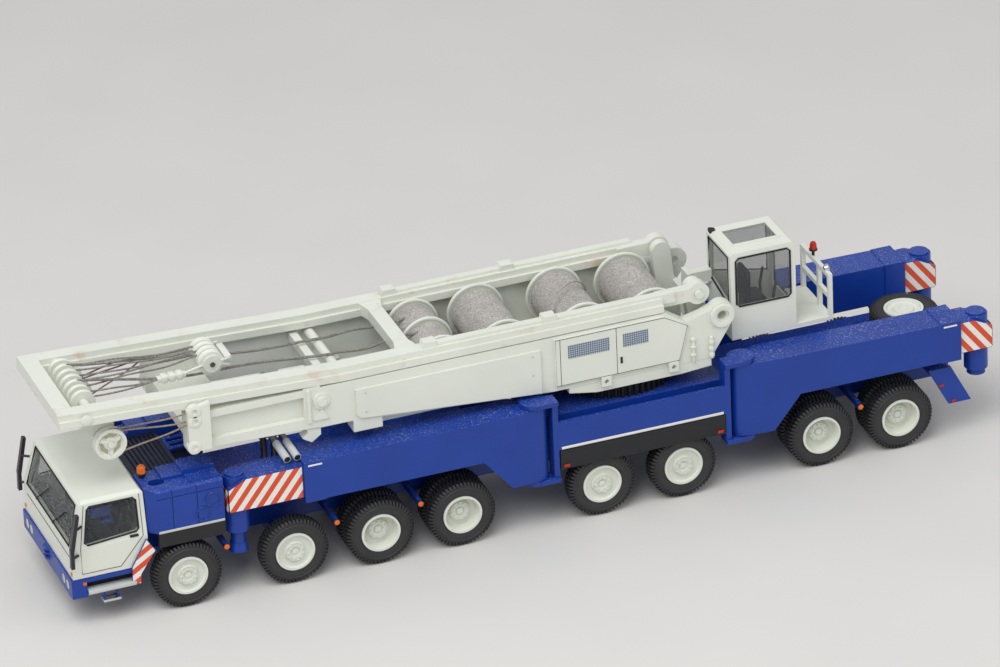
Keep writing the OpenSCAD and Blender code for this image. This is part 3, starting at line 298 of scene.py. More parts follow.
BLUE = enamel("blue_enamel", "#12409f", "#0d3087", 0.5)
IVORY = enamel("ivory_enamel", "#e3e5da", "#d6d9cd", 0.12)
RUBBED_IVORY = enamel("rubbed_ivory_enamel", "#e3e5da", "#d4d6ca", 0.12, stain="#c79a72")
SILVER = moulded("silver_lacquer", "#cfd1cf", "#b9bcba", 0.34, 0.5)
BLACK = moulded("black_abs", "#17181c", "#101115", 0.5, 0.6)
NAVY = moulded("ribbed_navy_abs", "#1b2140", "#12162a", 0.5, 0.5, ribs=0.8)
MIRROR_BLACK = moulded("mirror_abs", "#251f2e", "#18151d", 0.38, 0.6)
RUBBER = moulded("tyre_rubber", "#323234", "#262627", 0.6, 0.4)
GASKET = moulded("gasket_rubber", "#1b1b1d", "#131314", 0.6, 0.5)
# Near-black moulding for panel and door gaps, also used as painted shade in the step well and the exhaust
# mouths
SEAM_AND_SHADE = moulded("panel_gap_and_painted_shade", "#15171f", "#0d0e14", 0.8, 0.5)
WINDSCREEN = window_pane("dusty_clear_styrene", "#3a4043", 0.2, 0.5)
TINTED = window_pane("clear_styrene", "#4a5154", 0.22, 0.12)
LENS = lamp_plastic("lamp_lens", "#eef0ee", "#dfe3e2", 0.8)
AMBER = lamp_plastic("amber_lamp_plastic", "#ff8326", "#ee6a12", 0.25)
RED = lamp_plastic("red_lamp_plastic", "#d8321c", "#b52315", 0.25)
PLATING = plated("bright_plating", "#e2e2df", "#c9c9c6", 0.12)
STEEL = plated("bare_steel", "#8f8e8b", "#6f6e6c", 0.35)
TWINE = twine("grey_twine", "#ccc8c2", "#86817c", 0.5)
DARK_TWINE = twine("dull_twine", "#a19c96", "#625e5a", 0.7)
BROWN_TWINE = twine("brown_twine", "#ab9a84", "#736350", 0.7)
# Ivory darkened as painted shade, for the open spaces between the sheave spokes
PAINTED_SHADE_IVORY = enamel("shaded_ivory_enamel", "#b0b094", "#9d9d82", 0.0)
WARNING_RED = moulded("warning_film_red", "#e0502a", "#cf4421", 0.35, 0.8)
WARNING_WHITE = moulded("warning_film_white", "#efece4", "#e2dfd6", 0.35, 0.8)
GRILLE = printed_mesh("printed_grille", "#5b6a84", "#d3d7d4")

FINISHES = {
    "chassis": BLUE, "cab_shell": IVORY, "cab_glazing": WINDSCREEN, "cab_interior": BLACK,
    "front_bumper": BLUE, "engine_hood": BLUE, "radiator_deck": NAVY, "side_skirts": BLACK,
    "exhaust_pipes": STEEL, "mirrors": MIRROR_BLACK, "slew_ring": BLACK, "spare_rim": IVORY,
    "upper_frame": IVORY, "operator_cab": IVORY, "operator_glazing": TINTED, "gantry": RUBBED_IVORY,
    "gantry_sheaves": IVORY}
FAMILY_FINISHES = {"knuckle": BLACK, "rim": IVORY, "wheelset": IVORY, "arm": BLUE, "beam": BLUE, "jack": BLUE}
for node_name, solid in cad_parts.items():
    finish = FINISHES.get(node_name) or FAMILY_FINISHES.get(node_name.split("_")[0], BLACK)
    solid.data.materials.clear()
    solid.data.materials.append(finish)


# Piece building

def spot(axis, u, v, w):
    """A point from the two outline coordinates and the distance along the axis that the outline faces."""
    return {"x": Vector((w, u, v)), "y": Vector((u, w, v)), "z": Vector((u, v, w))}[axis]


def prism_faces(count):
    """Faces of a closed prism between an outline of count points and its copy."""
    sides = [[i, (i + 1) % count, count + (i + 1) % count, count + i] for i in range(count)]
    return [list(range(count)), list(range(count, 2 * count))] + sides


class Shape:
    """Collects mesh parts, in millimetres, that end as one piece. The first material is the usual one."""

    def __init__(self, *materials):
        self.materials = materials
        self.points = []
        self.faces = []
        self.marks = []

    def take(self, points, faces, material=None):
        """Adds points and the faces between them, in one of the materials."""
        start = len(self.points)
        self.points += points
        self.faces += [[start + i for i in face] for face in faces]
        mark = 0 if material is None else self.materials.index(material)
        self.marks += [mark] * len(faces)

    def block(self, low, high, bevel, material=None):
        """A block with softened edges."""
        low, high = Vector(low), Vector(high)
        mesh = bmesh.new()
        bmesh.ops.create_cube(mesh, size=1, matrix=Matrix.LocRotScale((low + high) / 2, None, high - low))
        bmesh.ops.bevel(mesh, geom=mesh.edges[:], offset=bevel, segments=2, affect="EDGES", profile=0.5)
        mesh.verts.index_update()
        faces = [[v.index for v in f.verts] for f in mesh.faces]
        self.take([v.co.copy() for v in mesh.verts], faces, material)
        mesh.free()

    def plate(self, axis, outline, near, far, material=None):
        """An outline given thickness along an axis."""
        points = [spot(axis, u, v, w) for w in (near, far) for u, v in outline]
        self.take(points, prism_faces(len(outline)), material)

    def turned(self, axis, centre, profile, material=None, steps=28):
        """A profile of (radius, distance along the axis), closed and turned about an axis at the centre."""
        profile = list(profile)
        if profile[0][0] and profile[-1][0]:
            profile.append(profile[0])
        elif profile[0][0]:
            profile.insert(0, (0, profile[0][1]))
        elif profile[-1][0]:
            profile.append((0, profile[-1][1]))
        points = []
        for angle in (2 * math.pi * i / steps for i in range(steps)):
            points += [Vector(centre) + spot(axis, r * math.cos(angle), r * math.sin(angle), w)
                       for r, w in profile]
        count = len(profile)
        faces = []
        for i in range(steps):
            here, there = i * count, (i + 1) % steps * count
            faces += [[here + k, here + k + 1, there + k + 1, there + k] for k in range(count - 1)]
        self.take(points, faces, material)

    def tube(self, route, radius, material=None, sides=10, closed=False):
        """A round tube along a route of points."""
        route = [Vector(p) for p in route]
        count = len(route)
        points = []
        for i, p in enumerate(route):
            before = route[i - 1] if i or closed else p
            after = route[(i + 1) % count] if i < count - 1 or closed else p
            way = (after - before).normalized()
            across = way.orthogonal() if abs(way.z) > 0.9 else way.cross(Vector((0, 0, 1)))
            across.normalize()
            rise = across.cross(way)
            points += [p + radius * (math.cos(a) * across + math.sin(a) * rise)
                       for a in (2 * math.pi * k / sides for k in range(sides))]
        faces = []
        for i in range(count if closed else count - 1):
            here, there = i * sides, (i + 1) % count * sides
            faces += [[here + k, here + (k + 1) % sides, there + (k + 1) % sides, there + k]
                      for k in range(sides)]
        if not closed:
            faces += [list(range(sides)), list(range((count - 1) * sides, count * sides))]
        self.take(points, faces, material)

    def stripes(self, axis, outline, near, far, pitch, lean):
        """A plate cut into slanting stripes of both materials, pitch wide along the outline's first way."""
        mesh = bmesh.new()
        mesh.faces.new([mesh.verts.new(spot(axis, u, v, near)) for u, v in outline])
        across = spot(axis, math.cos(lean), -math.sin(lean), 0)
        origin = spot(axis, *outline[0], near)
        width = pitch * math.cos(lean)
        reach = [(v.co - origin).dot(across) / width for v in mesh.verts]
        for k in range(math.floor(min(reach)), math.ceil(max(reach)) + 1):
            bmesh.ops.bisect_plane(mesh, geom=mesh.verts[:] + mesh.edges[:] + mesh.faces[:],
                                   plane_co=origin + k * width * across, plane_no=across)
        step = spot(axis, 0, 0, far - near)
        for face in mesh.faces:
            ring = [v.co.copy() for v in face.verts]
            band = math.floor((face.calc_center_median() - origin).dot(across) / width) % 2
            self.take(ring + [p + step for p in ring], prism_faces(len(ring)), self.materials[band])
        mesh.free()

    def piece(self, name, body=None, replaced=()):
        """Ends as an object with rounded shading that rides on a body and stands for the replaced solids."""
        mesh = bpy.data.meshes.new(name)
        mesh.from_pydata([p * MM for p in self.points], [], self.faces)
        for material in self.materials:
            mesh.materials.append(material)
        mesh.polygons.foreach_set("material_index", self.marks)
        joined = bmesh.new()
        joined.from_mesh(mesh)
        bmesh.ops.remove_doubles(joined, verts=joined.verts, dist=WELD * MM)
        bmesh.ops.recalc_face_normals(joined, faces=joined.faces)
        for face in joined.faces:
            face.smooth = True
        for edge in joined.edges:
            edge.smooth = edge.is_manifold and edge.calc_face_angle(math.pi) < SMOOTH_ANGLE
        joined.to_mesh(mesh)
        joined.free()
        made = bpy.data.objects.new(name, mesh)
        bpy.context.scene.collection.objects.link(made)
        if body:
            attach(made, body)
        if replaced:
            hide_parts(*replaced)
        return made


def polygon_ring(centre, radius, count):
    """Points on a circle, as outline coordinates."""
    angles = [2 * math.pi * k / count for k in range(count)]
    return [(centre[0] + radius * math.cos(a), centre[1] + radius * math.sin(a)) for a in angles]


# Wheels

LUGS = 54
LUG_WIDTH = 0.8
LUG_SLANT = 0.16
TREAD_R = TYRE_R - 0.75
RING_R = TYRE_R - 2.1
WHEEL_Y = TRACK_OUT - TYRE_W / 2
TWIN_Y = WHEEL_Y - TYRE_W - TWIN_GAP
SHALLOW_HUB_Y = WHEEL_Y + TYRE_W / 2 - 0.35
DISHED_HUB_Y = WHEEL_Y + 3.1 - TYRE_W / 2
NUT_COUNT = 9
NUT_RING_R = 2.6
NUT_R = 0.42


def tyre(shape, centre, axis="y"):
    """One tyre: carcass with a ring line on each flank and staggered lugs round both shoulders."""
    half = TYRE_W / 2
    flank = [(RIM_R + 0.05, half - 0.6), (RIM_R + 1.1, half - 0.1), (RING_R - 0.3, half - 0.12),
             (RING_R - 0.16, half + 0.1), (RING_R + 0.1, half + 0.1), (RING_R + 0.3, half - 0.16),
             (TREAD_R - 0.5, half - 0.3), (TREAD_R, half - 1.1)]
    shape.turned(axis, centre, flank + [(r, -w) for r, w in reversed(flank)], steps=60)
    section = [(0.25, TREAD_R - 0.2), (0.25, TYRE_R - 0.05), (half - 0.9, TYRE_R),
               (half - 0.05, TYRE_R - 0.9), (half - 0.05, TYRE_R - 1.3), (half - 0.8, TYRE_R - 1.5)]
    for k in range(LUGS):
        for side in LEFT_AND_RIGHT:
            turn = 2 * math.pi * (k + 0.25 * side) / LUGS
            points = []
            for edge in LEFT_AND_RIGHT:
                for w, r in section:
                    angle = turn + (edge * LUG_WIDTH / 2 + LUG_SLANT * w) / TYRE_R
                    corner = spot(axis, r * math.cos(angle), r * math.sin(angle), side * w)
                    points.append(Vector(centre) + corner)
            shape.take(points, prism_faces(len(section)))


def hub_bolts(shape, centre, side, face):
    """Ring of wheel nuts on a hub face, inside a raised rim, round a small hub cap."""
    axis_point = (centre.x, 0, centre.z)
    for nut in polygon_ring((centre.x, centre.z), NUT_RING_R, NUT_COUNT):
        shape.plate("y", polygon_ring(nut, NUT_R, 6), side * (face - 0.1), side * (face + 0.4))
    shape.turned("y", axis_point, [(3.2, side * (face - 0.1)), (3.25, side * (face + 0.16)),
                                   (3.45, side * (face + 0.16)), (3.5, side * (face - 0.1))], steps=36)
    shape.turned("y", axis_point, [(1.25, side * (face - 0.45)), (1.2, side * (face - 0.2)),
                                   (0.9, side * (face - 0.1)), (0, side * (face - 0.1))])


def steered_wheel(axle, side_name, side):
    """Tyre and wheel nuts of a wheel on a steering knuckle."""
    place = f"{axle}_{side_name}"
    rubber = Shape(RUBBER)
    tyre(rubber, middle(f"tyre_{place}"))
    rubber.piece(f"lugged_tyre_{place}", f"wheel_{place}", [f"tyre_{place}"])
    nuts = Shape(IVORY)
    hub_bolts(nuts, middle(f"rim_{place}"), side, SHALLOW_HUB_Y)
    nuts.piece(f"wheel_nuts_{place}", f"wheel_{place}")


def rod_axle(axle, single):
    """Tyres and wheel nuts of an axle on a rod, with single or twin wheels."""
    centre = middle(f"wheelset_{axle}")
    rubber = Shape(RUBBER)
    nuts = Shape(IVORY)
    for side in LEFT_AND_RIGHT:
        for y in [WHEEL_Y] if single else [WHEEL_Y, TWIN_Y]:
            tyre(rubber, Vector((centre.x, side * y, centre.z)))
        hub_bolts(nuts, centre, side, SHALLOW_HUB_Y if single else DISHED_HUB_Y)
    rubber.piece(f"lugged_tyres_{axle}", f"axle_{axle}", [f"tyres_{axle}"])
    nuts.piece(f"wheel_nuts_{axle}", f"axle_{axle}")


def spare_wheel():
    """The tyre that lies on the rear deck."""
    rubber = Shape(RUBBER)
    tyre(rubber, middle("spare_tyre"), axis="z")
    rubber.piece("lugged_spare_tyre", "carrier", ["spare_tyre"])


for axle_number in (1, 2):
    for wheel_side in SIDES:
        steered_wheel(axle_number, *wheel_side)
for axle_number in range(3, 9):
    rod_axle(axle_number, single=axle_number in (5, 6))
spare_wheel()


# Driver's cab

CAB_LEAN = 2.2 / (CAB_HIGH.z - 1 - CAB_BELT_Z)
SCREEN_RAKE = 4.0 / (CAB_HIGH.z - 1.2 - CAB_BELT_Z)
WINDOW_LOW = CAB_LOW.z + 13.4
WINDOW_HIGH = CAB_HIGH.z - 2.2
WINDOW_BACK = CAB_LOW.x + 2.8
WINDOW_FRONT = CAB_HIGH.x - 5
SKIN = 0.06
SEAM_R = 0.1
SEAT_Y = 17


def cab_side(side, x, z):
    """A point just off the cab's side wall, which leans in above the belt line."""
    return Vector((x, side * (CAB_HIGH.y + SKIN - CAB_LEAN * max(0, z - CAB_BELT_Z)), z))


def cab_nose(y, z):
    """A point just off the cab's front, which rakes back above the belt line."""
    back = 0.4 * min(1, (z - CAB_LOW.z) / (CAB_BELT_Z - CAB_LOW.z)) + SCREEN_RAKE * max(0, z - CAB_BELT_Z)
    return Vector((CAB_HIGH.x + SKIN - back, y, z))


def cab_trim():
    """Window gaskets, door gaps, handles and wipers."""
    trim = Shape(GASKET, SEAM_AND_SHADE, BLACK)
    cut = 0.9
    window = [(WINDOW_BACK, WINDOW_LOW + cut), (WINDOW_BACK + cut, WINDOW_LOW),
              (WINDOW_FRONT - cut, WINDOW_LOW - 1.4), (WINDOW_FRONT, WINDOW_LOW - 0.5),
              (WINDOW_FRONT - 2, WINDOW_HIGH - cut), (WINDOW_FRONT - 2 - cut, WINDOW_HIGH),
              (WINDOW_BACK + cut, WINDOW_HIGH), (WINDOW_BACK, WINDOW_HIGH - cut)]
    door_back = CAB_LOW.x + 1.5
    door_front = WINDOW_FRONT + 1.6
    sill = CAB_LOW.z + 1.6
    door = [(door_back, WINDOW_HIGH + 0.9), (door_back, WINDOW_LOW - 2), (door_back + 0.4, CAB_BELT_Z),
            (CAB_LOW.x + 9.9, sill), (door_front, sill), (door_front, CAB_BELT_Z),
            (WINDOW_FRONT - 1, WINDOW_HIGH + 0.6)]
    handle_size = Vector((1.5, 0.35, 0.45))
    for side in LEFT_AND_RIGHT:
        trim.tube([cab_side(side, x, z) for x, z in window], 0.32, sides=8, closed=True)
        trim.tube([cab_side(side, x, z) for x, z in door], SEAM_R, SEAM_AND_SHADE, sides=6)
        handle = cab_side(side, CAB_LOW.x + 4.6, CAB_BELT_Z + 1)
        trim.block(handle - handle_size, handle + handle_size, 0.15, BLACK)
    half = CAB_HIGH.y - 3.4
    screen = [(-half, WINDOW_LOW - 2), (half, WINDOW_LOW - 2), (half - 1.4, WINDOW_HIGH),
              (1.4 - half, WINDOW_HIGH)]
    trim.tube([cab_nose(y, z) for y, z in screen], 0.34, sides=8, closed=True)
    for foot in (-13, 5):
        trim.tube([cab_nose(foot, CAB_BELT_Z - 0.2), cab_nose(foot + 1, WINDOW_LOW - 1.4),
                   cab_nose(foot + 9, WINDOW_LOW + 5.6)], 0.22, BLACK, sides=6)
    flap_z = CAB_LOW.z + 7.4
    trim.tube([cab_nose(-half, flap_z), cab_nose(half, flap_z)], SEAM_R, SEAM_AND_SHADE, sides=6)
    trim.piece("cab_trim", "carrier")


def bumper_dress():
    """Headlamps, small side lamps, bright step boards and, behind them, a dark plate that is painted shade for
    the recessed step well.
    """
    dress = Shape(SILVER, PLATING, LENS, AMBER, SEAM_AND_SHADE)
    nose = BUMPER_FRONT - 1.2
    out_y = CAB_HIGH.y + 0.4
    corner_y = out_y - 1.6
    well_back = CAB_LOW.x + 5.2
    well_front = CAB_HIGH.x - 4.8
    bowl = [(0, -0.9), (1.1, -0.85), (1.6, -0.3), (1.68, 0.05), (1.5, 0.12)]
    glass = [(0, 0.1), (0.9, 0.02), (1.48, -0.3)]
    for side in LEFT_AND_RIGHT:
        for y in (18.2, 22.6):
            centre = (nose, side * y, 15.2)
            dress.turned("x", centre, bowl, PLATING)
            dress.turned("x", centre, glass, LENS)
        dress.block((nose - 5.2, side * out_y - 0.3, 16.1),
                    (nose - 3.9, side * out_y + 0.3, 17.3), 0.2, AMBER)
        dress.block((nose - 0.9, side * corner_y - 0.6, CAB_LOW.z + 1.4),
                    (nose - 0.4, side * corner_y + 0.6, CAB_LOW.z + 2.5), 0.15, AMBER)
        board = sorted((side * (TRACK_OUT - 4.3), side * (TRACK_OUT - 0.8)))
        dress.block((well_back, board[0], 12.5), (well_front, board[1], 14.0), 0.2)
        tread = sorted((side * (TRACK_OUT - 4.5), side * (TRACK_OUT - 0.9)))
        dress.block((CAB_LOW.x + 10.9, tread[0], 8.3), (CAB_LOW.x + 17.1, tread[1], 9.3), 0.2, PLATING)
        # Dark plate across the step recess: painted shade for the well
        shaded_well_span = sorted((side * (TRACK_OUT - 4.6), side * (TRACK_OUT - 4.2)))
        dress.block((well_back, shaded_well_span[0], 12.6), (well_front, shaded_well_span[1], 17.6), 0.1, SEAM_AND_SHADE)
    dress.piece("bumper_dress", "carrier")


def cab_boxes():
    """Painted seat boxes and a console that show through the cab's glass."""
    boxes = Shape(BLUE, BLACK)
    back = CAB_LOW.x
    for y in (-SEAT_Y, SEAT_Y):
        boxes.block((back + 10.5, y - 5, 37.4), (back + 18, y + 5, 41.4), 0.5)
        boxes.block((back + 9.5, y - 4, 33.6), (back + 13.5, y + 4, 35.6), 0.4)
    boxes.block((back + 8, -4.5, 21), (back + 19, 4.5, 33), 0.6, BLACK)
    boxes.piece("cab_boxes", "carrier")


cab_trim()
bumper_dress()
cab_boxes()


# Warning stripes

STRIPE = 2.4
STRIPE_LEAN = math.radians(38)
CAB_STRIPE = 3.6
CAB_STRIPE_LEAN = math.radians(-58)
FILM = 0.12
BOX_LOW = 33.0
BOX_TOP = 44.5


def beam_film(corner, ahead, side):
    """Slanting red and white films on both flanks and the end of a beam's box."""
    low, high = box(f"beam_{corner}")
    arm_low, arm_high = box(f"arm_{corner}")
    tip = high.x if ahead > 0 else low.x
    start = (arm_high.x if ahead > 0 else arm_low.x) + 0.4 * ahead
    face, inner = (high.y, low.y) if side > 0 else (low.y, high.y)
    outline = [(start, BOX_LOW), (tip - ahead * 0.3, BOX_LOW), (tip - ahead * 0.3, BOX_TOP - 3.2),
               (tip - ahead * 6.8, BOX_TOP), (start, BOX_TOP)]
    lean = ahead * side * STRIPE_LEAN
    film = Shape(WARNING_RED, WARNING_WHITE)
    film.stripes("y", outline, face, face + side * FILM, STRIPE, -lean)
    film.stripes("y", outline, inner, inner - side * FILM, STRIPE, lean)
    left, right = sorted((face - side * 0.4, inner + side * 0.4))
    end_top = BOX_TOP - 3.3
    end = [(left, BOX_LOW), (right, BOX_LOW), (right, end_top), (left, end_top)]
    film.stripes("x", end, tip, tip + ahead * FILM, STRIPE, STRIPE_LEAN)
    film.piece(f"warning_film_{corner}", f"beam_{corner}")


def cab_film():
    """The films on the wheel arches behind the cab doors."""
    arch = CAB_LOW.x + 4
    band = [(arch - 3.2, 28.7), (arch - 6, 24), (arch - 0.6, 16.3), (arch - 0.2, 12.8), (arch + 2.6, 12.8),
            (arch + 2.3, 19.2)]
    film = Shape(WARNING_RED, WARNING_WHITE)
    for side in LEFT_AND_RIGHT:
        face = side * (TRACK_OUT - 1)
        film.stripes("y", band, face, face + side * FILM, CAB_STRIPE, CAB_STRIPE_LEAN)
    film.piece("warning_film_cab", "carrier")


for corner_place in CORNERS:
    beam_film(*corner_place)
cab_film()


# Engine housing and carrier sides

LINE = 0.14
BOLT_STEPS = 12
LAMP_Z = 19.6
BASE_LAMP_REACH = 28.2


def side_trim(trim, side):
    """Pale lines along one side of the carrier and fasteners on the housing."""
    hood = sorted((side * HOOD_Y, side * (HOOD_Y + LINE)))
    trim.block((HOOD_LOW.x + 0.2, hood[0], HOOD_LOW.z), (HOOD_HIGH.x - 3.2, hood[1], HOOD_LOW.z + 0.9), 0.05)
    bolt = [(0.32, -0.05), (0.32, side * 0.12), (0.2, side * 0.22), (0, side * 0.24)]
    for along in (2, 8, 12, 19.6, 22.6):
        for z in (HOOD_LOW.z + 3, HOOD_TOP - 1.6):
            trim.turned("y", (HOOD_LOW.x + along, side * HOOD_Y, z), bolt, BLUE, BOLT_STEPS)
    line = sorted((side * BASE_Y, side * (BASE_Y + LINE)))
    trim.block((SKIRT_LOW.x + 0.5, line[0], 29.5), (SKIRT_LOW.x + 59.8, line[1], 30.5), 0.05, WARNING_WHITE)
    top_bolt = [(0.4, -0.05), (0.4, 0.15), (0.25, 0.25), (0, 0.26)]
    for along in (3, 7, 11):
        for y in (15.4, 20.6):
            trim.turned("z", (HOOD_LOW.x + along, side * y, HOOD_HIGH.z), top_bolt, BLUE, BOLT_STEPS)


def exhaust_ends(trim):
    """Silver sleeves on the exhaust pipes, each ending in a dark disc that is painted shade for the open pipe
    mouth.
    """
    pipe_x = middle("rim_2_left").x
    for x in (pipe_x - 1.4, pipe_x + 2.2):
        elbow, mouth = Vector((x, 7, 51.2)), Vector((x - 1.8, TRACK_OUT - 1.7, 47))
        way = (mouth - elbow).normalized()
        trim.tube([elbow.lerp(mouth, t) for t in (0.55, 0.8, 1.0)], 1.36, sides=24)
        # Thin dark disc at the mouth: painted shade for the inside of the pipe
        trim.tube([mouth, mouth + 0.05 * way], 0.92, SEAM_AND_SHADE, sides=24)


def carrier_trim():
    """Lines, fasteners and exhaust ends of the carrier."""
    trim = Shape(SILVER, BLUE, SEAM_AND_SHADE, WARNING_WHITE)
    for side in LEFT_AND_RIGHT:
        side_trim(trim, side)
    exhaust_ends(trim)
    trim.piece("carrier_trim", "carrier")


def arm_mark(corner, ahead, side):
    """A short white line near the end of an outrigger arm."""
    low, high = box(f"arm_{corner}")
    stop = (high.x if ahead > 0 else low.x) - ahead * 1.5
    back, front = sorted((stop, stop - ahead * 5))
    face = high.y if side > 0 else low.y
    mark = Shape(WARNING_WHITE)
    mark.block((back, face - FILM, 44.6), (front, face + FILM, 45.2), 0.05)
    mark.piece(f"arm_mark_{corner}", f"outrigger_{corner}")


def lamp(shape, axis, centre, radius, height, glass, rim):
    """A round lamp: a dark rim and a domed glass, standing out along the axis by height."""
    way = math.copysign(1, height)
    collar = [(radius, -0.05 * way), (radius, 0.4 * height), (0.8 * radius, 0.5 * height)]
    dome = [(0.86 * radius, 0.3 * height), (0.8 * radius, 0.7 * height), (0.5 * radius, 0.95 * height),
            (0, height)]
    shape.turned(axis, centre, collar, rim)
    shape.turned(axis, centre, dome, glass)


def marker_lamps():
    """Amber lamps between the wheels, red ones on the base, and ribbed amber beacons behind the cab."""
    lamps = Shape(AMBER, RED, BLACK)
    bracket_x = [middle("rim_1_left").x - 14.2,
                 (middle("rim_2_left").x + middle("wheelset_3").x) / 2,
                 (middle("wheelset_3").x + middle("wheelset_4").x) / 2,
                 (middle("wheelset_7").x + middle("wheelset_8").x) / 2]
    guard = middle("wheelset_8").x - 11
    for side in LEFT_AND_RIGHT:
        for x in bracket_x:
            lamp(lamps, "y", (x, side * (TRACK_OUT - 0.95), LAMP_Z), 1.15, side * 0.9, AMBER, BLACK)
        strip = sorted((side * (SKIRT_HIGH.y + 0.02), side * (SKIRT_HIGH.y + 0.5)))
        for x in (SLEW.x - BASE_LAMP_REACH, SLEW.x + BASE_LAMP_REACH):
            lamps.block((x - 1.1, strip[0], 22.8), (x + 1.1, strip[1], 23.9), 0.2, RED)
        guard_y = side * (TRACK_OUT - 0.9)
        for x, z in ((guard - 4.6, 20.8), (guard - 9.2, 13.8)):
            lamps.block((x - 0.8, guard_y - 0.3, z - 0.4), (x + 0.8, guard_y + 0.3, z + 0.5), 0.15, RED)
        post = (HOOD_HIGH.x - 2, side * 17, HOOD_TOP)
        lamps.turned("z", post, [(1.1, 0), (1.1, 1.2), (1.7, 1.3), (1.7, 1.7), (0, 1.7)], BLACK)
        ribs = [(1.55 if k % 2 else 1.4, 1.6 + 0.28 * k) for k in range(9)]
        lamps.turned("z", post, ribs + [(1.1, 4.3), (0, 4.45)], AMBER)
    lamps.piece("lamp_set", "carrier", ["marker_lamps"])


carrier_trim()
for corner_place in CORNERS:
    arm_mark(*corner_place)
marker_lamps()


# Winches and ropes

DRUM_HALF = 15.0
DRUM_FLANGE = 1.2
DRUM_STEPS = 56
ROPE_PITCH = 0.6
LOOP_STEPS = 18
HEAD_PIN = Vector((HEAD_X - 12, 0, GANTRY_HIGH.z - 2.6))
TUBE_X = SLEW.x + 101.8
TUBE_TOP = 69.75
ROPE_R = 0.48
TAIL_ROPE_R = 0.3
FALL_R = 0.33


def wound_core(y0, y1, radius):
    """Profile of rope turns laid side by side between two flanges."""
    turns = round((y1 - y0) / ROPE_PITCH)
    pitch = (y1 - y0) / turns
    bulge = [(0.0, 0.0), (0.25, 0.2), (0.5, 0.27), (0.75, 0.2)]
    return [(radius + h, y0 + (k + t) * pitch) for k in range(turns) for t, h in bulge] + [(radius, y1)]


def drum_flange(drum, centre, radius, y):
    """A flange with a raised edge and a ring of bolts on both faces, from y on."""
    rim = [(1.6, y + 0.2), (radius - 1.0, y + 0.3), (radius - 0.8, y), (radius - 0.15, y), (radius, y + 0.15)]
    back = [(r, 2 * y + DRUM_FLANGE - w) for r, w in reversed(rim)]
    drum.turned("y", centre, rim + back, steps=DRUM_STEPS)
    for bolt in polygon_ring((centre.x, centre.z), radius - 3.4, 8):
        for face, way in ((y + 0.2, -1), (y + DRUM_FLANGE - 0.2, 1)):
            drum.plate("y", polygon_ring(bolt, 0.45, 6), face, face + 0.3 * way)


def loose_strand(drum, centre, core):
    """A strand that has sprung up from the wound rope and loops over it."""
    loop = []
    for k in range(LOOP_STEPS + 1):
        angle = math.radians(20 + 7 * k)
        lift = core + 0.5 + 3.2 * math.sin(math.pi * k / LOOP_STEPS)
        loop.append(centre + Vector((lift * math.cos(angle), 9 - 0.7 * k, lift * math.sin(angle))))
    drum.tube(loop, 0.36, TWINE)


def winch_drum(number):
    """Drum with enamelled flanges, wound with twine, on its steel shaft."""
    node = f"drum_{number}"
    low, high = box(node)
    centre = (low + high) / 2
    radius = (high.z - low.z) / 2
    double = number == 4
    drum = Shape(IVORY, TWINE, STEEL)
    flanges = [-DRUM_HALF, DRUM_HALF - DRUM_FLANGE] + ([-DRUM_FLANGE / 2] if double else [])
    for y in flanges:
        drum_flange(drum, centre, radius, y)
    edges = sorted(flanges)
    core = radius - 1.7
    for left, right in zip(edges, edges[1:]):
        turns = wound_core(left + DRUM_FLANGE - 0.1, right + 0.1, core)
        drum.turned("y", centre, turns, TWINE, DRUM_STEPS)
    shaft = high.y
    drum.turned("y", centre, [(0, -shaft), (1.5, -shaft), (1.5, shaft), (0, shaft)], STEEL)
    if number == 2:
        loose_strand(drum, centre, core)
    drum.piece(f"wound_{node}", node, [node])


def sagging(p, q, sag, sway=0.0, steps=24):
    """Route from p to q that hangs by sag in the middle and sways to both sides, as a stiff slack rope."""
    p, q = Vector(p), Vector(q)
    route = []
    for t in (k / steps for k in range(steps + 1)):
        hang = 4 * t * (1 - t)
        route.append(p.lerp(q, t) + Vector((0, sway * hang * math.sin(7 * t), -sag * hang)))
    return route


def hauling_ropes():
    """Slack ropes from the double drum over the cross tubes to the gantry head."""
    drum = middle("drum_4")
    haul = Shape(DARK_TWINE)
    rope_z = TUBE_TOP + ROPE_R
    for y, sway in ((-8.0, 1.2), (4.0, -1.6)):
        lead = sagging((drum.x + 2, y, drum.z + 6.6), (TUBE_X, y, rope_z), 0.4, sway)
        head = (HEAD_PIN.x - 1, y, HEAD_PIN.z + 3.8)
        rest = sagging((TUBE_X + 0.4, y, rope_z), head, 1.6, 1.5 * sway)
        haul.tube(lead + rest, ROPE_R)
    made = haul.piece("hauling_ropes")
    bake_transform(made)


def tail_ropes():
    """Ropes from the girder ends to the hanging sheaves."""
    tail = Shape(BROWN_TWINE)
    for side in LEFT_AND_RIGHT:
        for z, lift in ((68.4, -4.6), (68.6, 4.4), (72.0, 5.0)):
            start = (HOOK_X, side * (UPPER_Y + 1.2), z)
            end = (SHEAVE_X, side * 19.2, SHEAVE_Z + lift)
            tail.tube(sagging(start, end, 0.8, 0.4, 60), TAIL_ROPE_R)
    made = tail.piece("tail_ropes")
    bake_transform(made)


